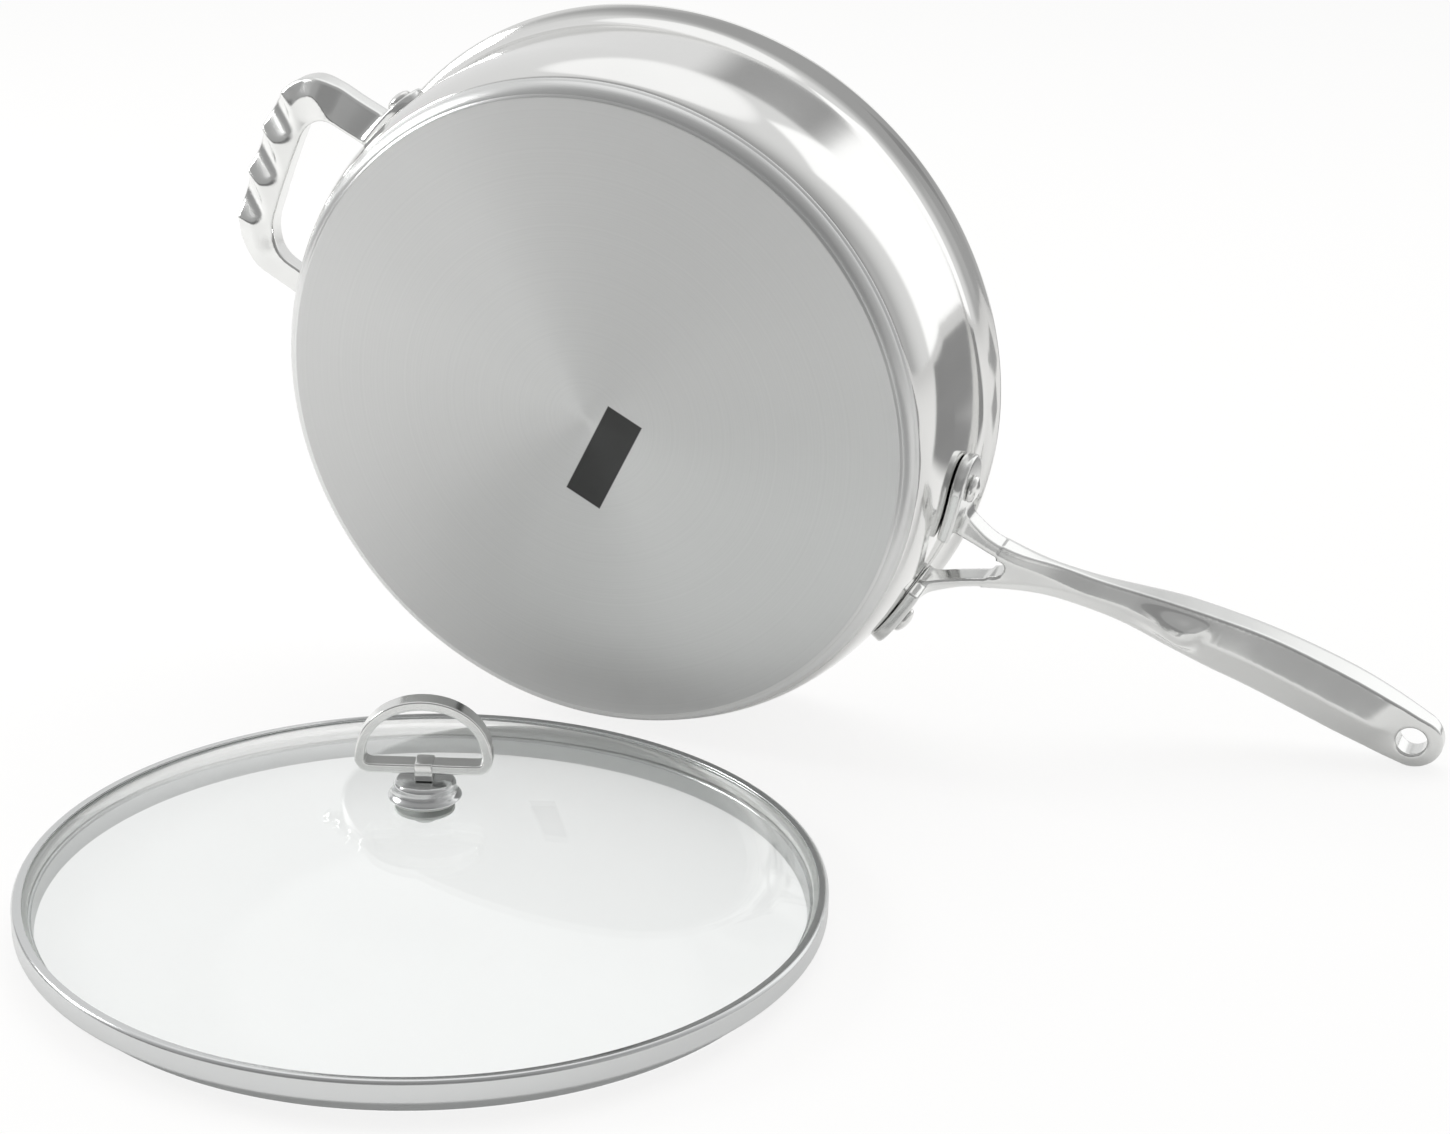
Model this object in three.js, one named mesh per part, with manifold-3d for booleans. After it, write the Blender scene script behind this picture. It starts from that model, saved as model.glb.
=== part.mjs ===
import * as THREE from 'three';
import { mergeVertices } from 'three/addons/utils/BufferGeometryUtils.js';
import Module from 'manifold-3d';

// Stainless saute pan lying on its side, with its glass lid on the floor beside it.
// Millimetres, Z up, floor at Z = 0. Pan and lid are each built upright in their own group.

// Driving dimensions of the pan
const insideRadius = 140;
const wallThickness = 1;
const panHeight = 75.4;
const lipRadius = 147;
const heelTop = 18;
const floorRadius = 131.5;
const floorUnderside = 6.2;
const baseFlatRadius = 129.7;
const seamRadius = 135.5;
const seamHeight = 6.9;
const capThickness = 0.6;
const coreTop = 5.9;
const fitGap = 0.3;

// Driving dimensions of the handles
const longFootThickness = 5.2;
const helperFootThickness = 4.2;
const rivetShankRadius = 3;
const rivetHeadRadius = 5.6;
const longRivetArc = 33;
const longRivetHeight = 46.5;
const helperRivetArc = 54.5;
const helperRivetHeight = 50;
const hangHoleRadius = 6.2;
const hangHoleDistance = 345;
const handleEnd = 358;

// Driving dimensions of the lid
const lidRadius = 144.2;
const skirtRadius = 137;
const ledgeHeight = 6.3;
const rimTop = 14.9;
const glassRadius = 141.6;
const glassEdgeTop = 13.5;
const glassApex = 43.6;
const glassThickness = 4;
const knobTop = 82.5;
const knobHalfWidth = 24.2;
const knobBandDepth = 8;
const knobBandThickness = 3.4;
const ferruleBottom = 45;
const ferruleTop = 52.2;
const screwRadius = 2.4;

// Where the two things lie
const panYaw = THREE.MathUtils.degToRad(21.3);
const lidFromPan = new THREE.Vector2(-47.3, -151.6);
const ringSegments = 52;

const wasm = await Module();
wasm.setup();

// Materials
function steel(color, roughness) {
  return new THREE.MeshStandardMaterial({ color, roughness, metalness: 1 });
}
const polishedSteel = steel(0xd6d6d4, 0.15);
const brushedSteel = steel(0xb9bab8, 0.38);
const castSteel = steel(0xcfcfcc, 0.22);
const bandSteel = steel(0xc6c8c8, 0.28);
const aluminium = steel(0xb0b3b6, 0.5);
const clearGlass = new THREE.MeshStandardMaterial({
  color: 0xe6efec,
  roughness: 0.05,
  metalness: 0,
  transparent: true,
  opacity: 0.3,
});
const silicone = new THREE.MeshStandardMaterial({ color: 0xdadcd8, roughness: 0.7, metalness: 0 });

// Solid tools

// Turns a closed geometry into a solid: shared corners merged, empty triangles dropped.
function solidOf(geometry) {
  const plain = geometry.clone();
  plain.deleteAttribute('normal');
  plain.deleteAttribute('uv');
  const merged = mergeVertices(plain, 1e-3);
  const corners = merged.index.array;
  const kept = [];
  for (let i = 0; i < corners.length; i += 3) {
    const [a, b, c] = [corners[i], corners[i + 1], corners[i + 2]];
    if (a !== b && b !== c && c !== a) kept.push(a, b, c);
  }
  const build = (triangles) => new wasm.Manifold(new wasm.Mesh({
    numProp: 3,
    vertProperties: new Float32Array(merged.attributes.position.array),
    triVerts: new Uint32Array(triangles),
  }));
  const solid = build(kept);
  if (solid.volume() > 0) return solid;
  return build(kept.reverse());
}

function meshOf(name, solid, material) {
  const data = solid.getMesh();
  const geometry = new THREE.BufferGeometry();
  const positions = new Float32Array(data.numVert * 3);
  for (let i = 0; i < data.numVert; i += 1) {
    for (let k = 0; k < 3; k += 1) positions[3 * i + k] = data.vertProperties[data.numProp * i + k];
  }
  geometry.setAttribute('position', new THREE.BufferAttribute(positions, 3));
  geometry.setIndex(new THREE.BufferAttribute(new Uint32Array(data.triVerts), 1));
  geometry.computeVertexNormals();
  const mesh = new THREE.Mesh(geometry, material);
  mesh.name = name;
  return mesh;
}

function point(radius, height) {
  return new THREE.Vector2(radius, height);
}

// Quarter of an ellipse from its lowest point out to its widest point.
function heelArc(startRadius, bottom, endRadius, top, steps) {
  const points = [];
  for (let i = 0; i <= steps; i += 1) {
    const angle = (Math.PI / 2) * (i / steps);
    const radius = startRadius + (endRadius - startRadius) * Math.sin(angle);
    points.push(point(radius, top - (top - bottom) * Math.cos(angle)));
  }
  return points;
}

// Revolves a profile about Z. The first edge of the ring lies at startAngle from X.
function revolve(profile, segments = ringSegments, startAngle = 0) {
  const geometry = new THREE.LatheGeometry(profile, segments);
  geometry.rotateX(Math.PI / 2);
  geometry.rotateZ(Math.PI / 2 + startAngle);
  return solidOf(geometry);
}

// Joins a row of equal closed outlines into one skin and closes both ends.
function loft(outlines) {
  const count = outlines[0].length;
  const positions = [];
  const triangles = [];
  outlines.forEach((outline) => outline.forEach((p) => positions.push(p.x, p.y, p.z)));
  for (let s = 0; s + 1 < outlines.length; s += 1) {
    for (let i = 0; i < count; i += 1) {
      const a = s * count + i;
      const b = s * count + ((i + 1) % count);
      triangles.push(a, b, a + count, b, b + count, a + count);
    }
  }
  [0, outlines.length - 1].forEach((s) => {
    const middle = new THREE.Vector3();
    outlines[s].forEach((p) => middle.addScaledVector(p, 1 / count));
    const centre = positions.length / 3;
    positions.push(middle.x, middle.y, middle.z);
    for (let i = 0; i < count; i += 1) {
      const a = s * count + i;
      const b = s * count + ((i + 1) % count);
      if (s === 0) triangles.push(centre, b, a);
      else triangles.push(centre, a, b);
    }
  });
  const geometry = new THREE.BufferGeometry();
  geometry.setAttribute('position', new THREE.Float32BufferAttribute(positions, 3));
  geometry.setIndex(triangles);
  return solidOf(geometry);
}

// Reads a smooth curve through a few measured stations, each a row that starts with its distance.
function stationsCurve(stations) {
  const width = stations[0].length;
  return (distance) => {
    let i = 0;
    while (i + 2 < stations.length && distance > stations[i + 1][0]) i += 1;
    const before = stations[Math.max(i - 1, 0)];
    const from = stations[i];
    const to = stations[i + 1];
    const after = stations[Math.min(i + 2, stations.length - 1)];
    const span = to[0] - from[0];
    const t = THREE.MathUtils.clamp((distance - from[0]) / span, 0, 1);
    const values = [];
    for (let k = 1; k < width; k += 1) {
      const slopeFrom = (span * (to[k] - before[k])) / (to[0] - before[0]);
      const slopeTo = (span * (after[k] - from[k])) / (after[0] - from[0]);
      const rise = to[k] - from[k];
      const cubic = slopeFrom + slopeTo - 2 * rise;
      const square = 3 * rise - 2 * slopeFrom - slopeTo;
      values.push(from[k] + t * (slopeFrom + t * (square + t * cubic)));
    }
    return values;
  };
}

function cylinder(radius, from, to, segments) {
  const along = to.clone().sub(from);
  const geometry = new THREE.CylinderGeometry(radius, radius, along.length(), segments);
  const up = new THREE.Vector3(0, 1, 0);
  const turn = new THREE.Quaternion().setFromUnitVectors(up, along.clone().normalize());
  geometry.applyQuaternion(turn);
  const middle = from.clone().add(to).multiplyScalar(0.5);
  geometry.translate(middle.x, middle.y, middle.z);
  return solidOf(geometry);
}

function around(radius, angle, height) {
  return new THREE.Vector3(radius * Math.cos(angle), radius * Math.sin(angle), height);
}

// Long handle: grip and neck

// Distance from the pan axis, height of the underside edges, top height, half width,
// depth of the keel below the edges, half width of its flat, depth of the finger guard below it.
const gripStations = [
  [158, 56, 66.6, 12, 1.3, 8.2, 0],
  [170, 63, 73.2, 9.2, 1.6, 5.2, 0],
  [186, 73.8, 80.6, 7.6, 2.1, 2.2, 0],
  [204, 81.6, 90, 7.1, 2.3, 0.4, 0],
  [220, 87.8, 98.5, 8, 2.3, 0, 0],
  [231, 90.9, 103.4, 9.2, 2.5, 0, 1.8],
  [239, 92.8, 106.3, 10.1, 2.6, 0, 5],
  [243, 93.8, 107.3, 10.5, 2.6, 0, 5.8],
  [247, 94.8, 108.3, 10.9, 2.6, 0, 4.2],
  [252, 96, 109.6, 11.3, 2.8, 0, 0.6],
  [257, 97.2, 110.8, 11.7, 3, 0, 0],
  [274, 101.4, 115, 12.5, 3.5, 0, 0],
  [298, 104.6, 119.2, 12.9, 3.8, 0, 0],
  [318, 106.2, 120.9, 12.8, 3.9, 0, 0],
  [328, 106.9, 120.9, 12.4, 3.4, 0, 0],
  [337, 107.4, 120.3, 12, 0.2, 0, 0],
  [346, 108, 119.5, 11.4, 0, 0, 0],
  [358, 110, 118, 11, 0, 0, 0],
];
const gripAt = stationsCurve(gripStations);

// One cross-section of the grip: keeled underside, rounded edges, upright sides, crowned top.
function gripOutline(distance) {
  const [underside, top, fullHalf, keel, keelFlat, guard] = gripAt(distance);
  const roundStart = handleEnd - gripAt(handleEnd)[2];
  const past = Math.max(0, distance - roundStart) / (handleEnd - roundStart);
  const taper = Math.sqrt(Math.max(0, 1 - past * past));
  const half = Math.max(fullHalf * taper, 1.2);
  const squeeze = 1.6 * (1 - taper);
  const low = underside + squeeze;
  const high = top - squeeze;
  const rim = Math.min(1.6, half * 0.3);
  const shoulder = Math.min(3.6, half * 0.45);
  const flat = half - rim;
  const row = [];
  const level = Math.max(0, keelFlat) / flat;
  const inner = Math.max(level, 0.3);
  const between = (1 + inner) / 2;
  [-1, -between, -inner, 0, inner, between, 1].forEach((across) => {
    const inward = 1 - Math.abs(across);
    const slope = Math.min(1, inward / (1 - level));
    const bump = THREE.MathUtils.smoothstep(inward, 0.1, 0.7);
    row.push([flat * across, low - Math.max(0, keel) * slope - Math.max(0, guard) * bump]);
  });
  row.push([half - rim * 0.3, low + rim * 0.3]);
  row.push([half, low + rim]);
  row.push([half, high - shoulder]);
  row.push([half - shoulder * 0.3, high - shoulder * 0.3]);
  row.push([half - shoulder, high]);
  row.push([0, high + 0.9]);
  row.push([shoulder - half, high]);
  row.push([shoulder * 0.3 - half, high - shoulder * 0.3]);
  row.push([-half, high - shoulder]);
  row.push([-half, low + rim]);
  row.push([rim * 0.3 - half, low + rim * 0.3]);
  return row.map(([across, height]) => new THREE.Vector3(distance, across, height));
}

function gripSolid() {
  const distances = [];
  for (let d = 165; d < 224; d += 9) distances.push(d);
  for (let d = 225; d < 257; d += 3) distances.push(d);
  for (let d = 260; d < 318; d += 14) distances.push(d);
  for (let d = 320; d < 346; d += 4) distances.push(d);
  for (let d = 347; d < handleEnd; d += 2.2) distances.push(d);
  distances.push(handleEnd - 0.25);
  return loft(distances.map(gripOutline));
}

// Prong of the fork: a bar on edge, chamfered below on its outer side, that swings from the neck
// out to its foot on the wall.
function prongSolid(side) {
  // Distance from the pan axis, offset from the middle plane, underside, half width, depth.
  const path = [
    [182, 4, 68.4, 3, 10],
    [172, 5.9, 62.4, 3, 11.6],
    [168, 6.8, 60.2, 2.6, 11.9],
    [164, 7.9, 58.1, 2.4, 11.8],
    [160, 9.15, 55.8, 2.4, 11.8],
    [156, 10.8, 53.5, 2.55, 11.9],
    [152, 12.8, 51, 3, 12.1],
    [148, 15, 48.3, 3.6, 12.4],
    [143.6, 18, 45.5, 4.6, 13],
  ];
  const outlines = path.map(([distance, across, low, half, tall]) => {
    const corner = 0.9;
    const chamfer = Math.max(corner, half - corner);
    const row = [
      [-half, low + corner],
      [-half + corner, low],
      [-half + 2 * corner, low],
      [half, low + chamfer],
      [half, low + tall - corner],
      [half - corner, low + tall],
      [-half + corner, low + tall],
      [-half, low + tall - corner],
    ];
    return row.map(([out, height]) => new THREE.Vector3(distance, side * (across + out), height));
  });
  return loft(outlines);
}

// Foot: a plate bent round the wall, rounded at its far end, flush with the root at the other.
function footSolid(facing, side, thickness, nearArc, farArc, low, high) {
  const inner = insideRadius + wallThickness + fitGap;
  const outer = inner + thickness;
  const middle = (low + high) / 2;
  const half = (high - low) / 2;
  const outlines = [];
  const steps = 8;
  for (let i = 0; i <= steps; i += 1) {
    const share = i / steps;
    const arc = nearArc + (farArc - nearArc) * Math.sin((share * Math.PI) / 2);
    const end = Math.max(0, arc - (farArc - half)) / half;
    const reach = Math.max(half * Math.sqrt(Math.max(0, 1 - end * end)), 1.5);
    const angle = facing + (side * arc) / inner;
    const row = [
      [inner, middle - reach],
      [outer - 1, middle - reach],
      [outer, middle - reach + 1],
      [outer, middle + reach - 1],
      [outer - 1, middle + reach],
      [inner, middle + reach],
    ];
    outlines.push(row.map(([radius, height]) => around(radius, angle, height)));
  }
  return loft(outlines);
}

function rivetHole(angle, height) {
  const radius = rivetShankRadius + fitGap;
  return cylinder(radius, around(130, angle, height), around(155, angle, height), 20);
}

const longRivetTurn = longRivetArc / (insideRadius + wallThickness);
const helperRivetTurn = helperRivetArc / (insideRadius + wallThickness);
const rivetPlaces = [
  {
    name: 'long_handle_rivet_upper',
    angle: -longRivetTurn,
    height: longRivetHeight,
    foot: longFootThickness,
  },
  {
    name: 'long_handle_rivet_lower',
    angle: longRivetTurn,
    height: longRivetHeight,
    foot: longFootThickness,
  },
  {
    name: 'helper_handle_rivet_upper',
    angle: Math.PI + helperRivetTurn,
    height: helperRivetHeight,
    foot: helperFootThickness,
  },
  {
    name: 'helper_handle_rivet_lower',
    angle: Math.PI - helperRivetTurn,
    height: helperRivetHeight,
    foot: helperFootThickness,
  },
];

function longHandleSolid() {
  const [low, high] = gripAt(hangHoleDistance);
  const below = new THREE.Vector3(hangHoleDistance, 0, low - 8);
  const above = new THREE.Vector3(hangHoleDistance, 0, high + 8);
  let solid = gripSolid();
  [-1, 1].forEach((side) => {
    solid = solid.add(prongSolid(side));
    solid = solid.add(footSolid(0, side, longFootThickness, 14, 47, 33, 60));
  });
  solid = solid.subtract(cylinder(hangHoleRadius, below, above, 28));
  const crotchLow = new THREE.Vector3(165.6, 0, 50);
  const crotchHigh = new THREE.Vector3(162.6, 0, 84);
  solid = solid.subtract(cylinder(4, crotchLow, crotchHigh, 20));
  rivetPlaces.slice(0, 2).forEach((place) => {
    solid = solid.subtract(rivetHole(place.angle, place.height));
  });
  return solid;
}

// Helper handle: a cast loop with three finger scallops along its lower outer edge

function helperLoopSolid() {
  // Corner points of the loop's middle line, from the upper foot round to the lower foot.
  const path = [
    [-130, -43, 47.5],
    [-152, -42.8, 49.3],
    [-163, -42.6, 51],
    [-172, -40.6, 52.5],
    [-177.4, -35.4, 53.5],
    [-179.8, -27, 54],
    [-180.8, -14, 54.2],
    [-181, 0, 54.3],
    [-180.8, 14, 54.2],
    [-179.8, 27, 54],
    [-177.4, 35.4, 53.5],
    [-172, 40.6, 52.5],
    [-163, 42.6, 51],
    [-152, 42.8, 49.3],
    [-130, 43, 47.5],
  ];
  const outlines = path.map(([x, y, z], i) => {
    const [bx, by] = path[Math.max(i - 1, 0)];
    const [ax, ay] = path[Math.min(i + 1, path.length - 1)];
    const outward = new THREE.Vector2(by - ay, ax - bx).normalize();
    const bar = Math.max(0, 1 - Math.abs(y) / 40);
    const halfWide = 4.6 + 3.2 * Math.sqrt(bar);
    const halfTall = 6.4 + 1.8 * Math.sqrt(bar);
    const row = [
      [-halfWide, -halfTall + 3],
      [-halfWide + 3, -halfTall],
      [halfWide - 3, -halfTall],
      [halfWide, -halfTall + 3],
      [halfWide, halfTall - 3],
      [halfWide - 3, halfTall],
      [-halfWide + 3, halfTall],
      [-halfWide, halfTall - 3],
    ];
    return row.map(([out, up]) => new THREE.Vector3(x + outward.x * out, y + outward.y * out, z + up));
  });
  return loft(outlines);
}

function helperHandleSolid() {
  const wallSide = insideRadius + wallThickness + fitGap;
  const wall = cylinder(wallSide, new THREE.Vector3(0, 0, -10), new THREE.Vector3(0, 0, 90), 96);
  let solid = helperLoopSolid().subtract(wall);
  [-1, 1].forEach((side) => {
    solid = solid.add(footSolid(Math.PI, side, helperFootThickness, 36, 65, 39, 61));
  });
  [-21, 0, 21].forEach((across) => {
    const inner = new THREE.Vector3(-160, across, 24.4);
    const outer = new THREE.Vector3(-215, across, 54.9);
    solid = solid.subtract(cylinder(12, inner, outer, 24));
  });
  rivetPlaces.slice(2).forEach((place) => {
    solid = solid.subtract(rivetHole(place.angle, place.height));
  });
  return solid;
}

// Rivet: domed head outside the foot, shank through foot and wall, flat head inside the pan.
function rivetSolid(place) {
  const outsideSeat = insideRadius + wallThickness + 2 * fitGap + place.foot;
  const insideSeat = insideRadius - 2 * fitGap;
  const profile = [
    point(0, insideSeat - 1.8),
    point(rivetHeadRadius - 1.2, insideSeat - 1.6),
    point(rivetHeadRadius, insideSeat - 0.6),
    point(rivetHeadRadius, insideSeat),
    point(rivetShankRadius, insideSeat),
    point(rivetShankRadius, outsideSeat),
    point(rivetHeadRadius, outsideSeat),
    point(rivetHeadRadius - 0.4, outsideSeat + 1),
    point(rivetHeadRadius - 1.6, outsideSeat + 2.1),
    point(rivetHeadRadius - 3.4, outsideSeat + 2.8),
    point(0, outsideSeat + 3.1),
  ];
  const geometry = new THREE.LatheGeometry(profile, 14);
  geometry.rotateZ(-Math.PI / 2);
  geometry.rotateZ(place.angle);
  geometry.translate(0, 0, place.height);
  return solidOf(geometry);
}

// Pan lying on its side

// Outer profile of the vessel from the middle of its underside to the edge of its lip.
const vesselOutside = [
  point(0, floorUnderside),
  ...heelArc(floorRadius, floorUnderside, insideRadius + wallThickness, heelTop, 6),
  point(insideRadius + wallThickness, 62),
  point(141.25, 65.6),
  point(142, 68.6),
  point(143.1, 70.6),
  point(144.6, 72.4),
  point(146.4, 74),
  point(lipRadius, 74.9),
  point(146.6, panHeight),
];
const vesselInside = [
  point(145.6, 74.9),
  point(143.8, 73.1),
  point(142.3, 71.3),
  point(141.1, 69.2),
  point(140.3, 66),
  point(insideRadius, 62),
  ...heelArc(floorRadius, floorUnderside + wallThickness, insideRadius, heelTop, 5).reverse(),
  point(0, floorUnderside + wallThickness),
];

// The pan rests on its lip and on the part of the heel that the floor meets first.
const lipEdge = vesselOutside[vesselOutside.length - 2];
const lean = Math.min(...vesselOutside.slice(0, -2).map(
  (p) => Math.atan2(lipEdge.x - p.x, lipEdge.y - p.y),
));
const panAxis = new THREE.Vector3(
  Math.sin(panYaw) * Math.cos(lean),
  Math.cos(panYaw) * Math.cos(lean),
  Math.sin(lean),
);
const panRight = new THREE.Vector3(Math.cos(panYaw), -Math.sin(panYaw), 0);
const panDown = panAxis.clone().cross(panRight);
const baseHeight = lipEdge.x * Math.cos(lean) - lipEdge.y * Math.sin(lean);

function panTurn(roll) {
  const towardHandle = panRight.clone().multiplyScalar(Math.cos(roll));
  towardHandle.addScaledVector(panDown, Math.sin(roll));
  const across = panAxis.clone().cross(towardHandle);
  return new THREE.Matrix4().makeBasis(towardHandle, across, panAxis);
}

function lowestPoint(geometry, roll) {
  const turned = geometry.clone().applyMatrix4(panTurn(roll));
  turned.computeBoundingBox();
  return baseHeight + turned.boundingBox.min.z;
}

// Rolls the pan about its axis until the end of the long handle meets the floor.
function rollToFloor(geometry) {
  let high = 0;
  let low = Math.PI / 3;
  for (let i = 0; i < 40; i += 1) {
    const middle = (high + low) / 2;
    if (lowestPoint(geometry, middle) > 0) high = middle;
    else low = middle;
  }
  return high;
}

const longHandle = meshOf('long_handle', longHandleSolid(), castSteel);
const panRoll = rollToFloor(longHandle.geometry);
const floorward = Math.PI / 2 - panRoll;

function panBodySolid() {
  let solid = revolve([...vesselOutside, ...vesselInside], ringSegments, floorward);
  rivetPlaces.forEach((place) => {
    solid = solid.subtract(rivetHole(place.angle, place.height));
  });
  return solid;
}

function baseCapSolid() {
  const outside = heelArc(baseFlatRadius, 0, seamRadius, seamHeight, 4);
  const inside = heelArc(baseFlatRadius, capThickness, seamRadius - capThickness, seamHeight, 4);
  return revolve([point(0, 0), ...outside, ...inside.reverse(), point(0, capThickness)],
    ringSegments, floorward);
}

function baseCoreSolid() {
  const low = capThickness + fitGap;
  const edge = seamRadius - capThickness - fitGap - 0.6;
  const side = heelArc(baseFlatRadius - 0.6, low, edge, seamHeight, 4).filter((p) => p.y < coreTop);
  return revolve([point(0, low), ...side, point(edge - 0.7, coreTop), point(0, coreTop)],
    ringSegments, floorward);
}

const pan = new THREE.Group();
pan.add(meshOf('pan_body', panBodySolid(), polishedSteel));
pan.add(meshOf('base_core', baseCoreSolid(), aluminium));
pan.add(meshOf('base_cap', baseCapSolid(), brushedSteel));
pan.add(longHandle);
pan.add(meshOf('helper_handle', helperHandleSolid(), castSteel));
rivetPlaces.forEach((place) => {
  pan.add(meshOf(place.name, rivetSolid(place), polishedSteel));
});
pan.quaternion.setFromRotationMatrix(panTurn(panRoll));
pan.position.set(0, 0, baseHeight);

// Lid

const domeRise = glassApex - glassEdgeTop;
const domeRadius = (glassRadius ** 2 + domeRise ** 2) / (2 * domeRise);

function domeHeight(radius) {
  return glassApex - domeRadius + Math.sqrt(domeRadius ** 2 - radius ** 2);
}

function lidGlassSolid() {
  const hole = screwRadius + 1.6;
  const top = [];
  const steps = 6;
  for (let i = 0; i <= steps; i += 1) {
    const radius = hole + (glassRadius - hole) * (i / steps);
    top.push(point(radius, domeHeight(radius)));
  }
  const bottom = top.map((p) => point(p.x, p.y - glassThickness));
  const outline = [...bottom, ...top.reverse(), bottom[0]];
  return revolve(outline);
}

// Rolled band: lip over the glass, upright outside, ledge that sits on the pan, skirt inside it.
function lidRimSolid() {
  const sheet = 0.8;
  const outline = [
    point(skirtRadius - 0.4, 0),
    point(skirtRadius, 0.4),
    point(skirtRadius + 0.5, ledgeHeight - 0.8),
    point(skirtRadius + 1.2, ledgeHeight),
    point(lidRadius - 0.7, ledgeHeight),
    point(lidRadius, ledgeHeight + 0.8),
    point(lidRadius, rimTop - 1),
    point(lidRadius - 0.8, rimTop - 0.1),
    point(lidRadius - 1.8, rimTop),
    point(140.6, rimTop - 0.2),
    point(140.5, rimTop - sheet),
    point(lidRadius - sheet - 0.6, rimTop - sheet),
    point(lidRadius - sheet, rimTop - sheet - 0.5),
    point(lidRadius - sheet, ledgeHeight + sheet),
    point(skirtRadius + 0.2, ledgeHeight + sheet),
    point(skirtRadius - 0.4, ledgeHeight + 0.2),
    point(skirtRadius - sheet, 0.4),
    point(skirtRadius - 0.4, 0),
  ];
  return revolve(outline);
}

// Gasket: an angle ring round the glass edge and under it.
function lidGasketSolid() {
  const outer = lidRadius - 0.8 - fitGap;
  const low = ledgeHeight + 0.8 + fitGap;
  const seat = glassEdgeTop - glassThickness - fitGap;
  const inner = skirtRadius + 1;
  const outline = [
    point(inner, low),
    point(outer, low),
    point(outer, glassEdgeTop),
    point(glassRadius + fitGap, glassEdgeTop),
    point(glassRadius + fitGap, seat),
    point(inner, seat),
    point(inner, low),
  ];
  return revolve(outline);
}

// Knob: a D-shaped band stood on a square post
function knobShape(inset) {
  const half = knobHalfWidth - inset;
  const top = knobTop - inset;
  const bottom = 55 + inset;
  const waist = 60;
  const corner = 6 - inset;
  const shape = new THREE.Shape();
  shape.moveTo(half - corner, bottom);
  shape.bezierCurveTo(half - 1, bottom, half, bottom + 2, half, waist);
  shape.bezierCurveTo(half, top - 8, half * 0.55, top, 0, top);
  shape.bezierCurveTo(-half * 0.55, top, -half, top - 8, -half, waist);
  shape.bezierCurveTo(-half, bottom + 2, 1 - half, bottom, corner - half, bottom);
  shape.closePath();
  return shape;
}

function knobLoopSolid() {
  const shape = knobShape(0.5);
  shape.holes.push(knobShape(knobBandThickness - 0.5));
  const geometry = new THREE.ExtrudeGeometry(shape, {
    depth: knobBandDepth - 1,
    bevelEnabled: true,
    bevelThickness: 0.5,
    bevelSize: 0.5,
    bevelSegments: 1,
    curveSegments: 8,
  });
  geometry.translate(0, 0, -(knobBandDepth - 1) / 2);
  geometry.rotateX(Math.PI / 2);
  const postLow = ferruleTop + fitGap;
  const postHigh = 55 + knobBandThickness + 0.6;
  const post = new THREE.BoxGeometry(6.4, knobBandDepth + 1, postHigh - postLow);
  post.translate(0, 0, (postHigh + postLow) / 2);
  const bore = cylinder(screwRadius + 0.3, new THREE.Vector3(0, 0, 50), new THREE.Vector3(0, 0, 57.4), 16);
  return solidOf(geometry).add(solidOf(post)).subtract(bore);
}

function ferruleSolid() {
  const bore = screwRadius + 0.4;
  const outline = [
    point(bore, ferruleBottom),
    point(12.6, ferruleBottom),
    point(13.1, ferruleBottom + 0.6),
    point(12.6, ferruleBottom + 1.4),
    point(11.6, ferruleBottom + 2.4),
    point(11.2, ferruleBottom + 3.8),
    point(11, ferruleTop - 1.6),
    point(10.2, ferruleTop - 0.6),
    point(7, ferruleTop - 0.1),
    point(bore, ferruleTop),
    point(bore, ferruleBottom),
  ];
  return revolve(outline, 24);
}

function washerSolid(inner, outer, low, high) {
  const outline = [
    point(inner, low),
    point(outer, low),
    point(outer, high),
    point(inner, high),
    point(inner, low),
  ];
  return revolve(outline, 20);
}

const glassUnderside = glassApex - glassThickness;
const screwHeadTop = glassUnderside - 3.2;

function knobScrewSolid() {
  const outline = [
    point(0, screwHeadTop - 2.6),
    point(3.6, screwHeadTop - 2.4),
    point(4.8, screwHeadTop - 1.4),
    point(5, screwHeadTop),
    point(screwRadius, screwHeadTop),
    point(screwRadius, 56.6),
    point(screwRadius - 0.5, 57),
    point(0, 57),
  ];
  return revolve(outline, 20);
}

const lid = new THREE.Group();
lid.add(meshOf('lid_glass', lidGlassSolid(), clearGlass));
lid.add(meshOf('lid_rim', lidRimSolid(), bandSteel));
lid.add(meshOf('lid_gasket', lidGasketSolid(), silicone));
lid.add(meshOf('knob_loop', knobLoopSolid(), castSteel));
lid.add(meshOf('knob_ferrule', ferruleSolid(), bandSteel));
const washerHole = screwRadius + 0.4;
const upperWasher = washerSolid(washerHole, 11.6, glassApex + fitGap, ferruleBottom - fitGap);
const lowerWasher = washerSolid(washerHole, 10.5, glassUnderside - 1.6, glassUnderside - 0.5);
const steelWasher = washerSolid(washerHole, 8, glassUnderside - 2.9, glassUnderside - 1.9);
lid.add(meshOf('knob_upper_washer', upperWasher, silicone));
lid.add(meshOf('knob_lower_washer', lowerWasher, silicone));
lid.add(meshOf('knob_steel_washer', steelWasher, bandSteel));
lid.add(meshOf('knob_screw', knobScrewSolid(), bandSteel));
lid.position.set(lidFromPan.x, lidFromPan.y, 0);

// Whole arrangement, centred over the floor point below its middle
const arrangement = new THREE.Group();
arrangement.add(pan);
arrangement.add(lid);
arrangement.updateMatrixWorld(true);
const reach = new THREE.Box3().setFromObject(arrangement, true);
const centre = reach.getCenter(new THREE.Vector3());
pan.position.x -= centre.x;
pan.position.y -= centre.y;
lid.position.x -= centre.x;
lid.position.y -= centre.y;

export default arrangement;
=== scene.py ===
"""A stainless steel saute pan lying on its side, with its glass lid on the floor in front of it.

The surfaces are worked out in millimetres, in the pan's own frame (X to the long handle, Z from
base to mouth) or in the lid's (Z up), and then set down in the shared frame in metres.
"""

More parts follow.
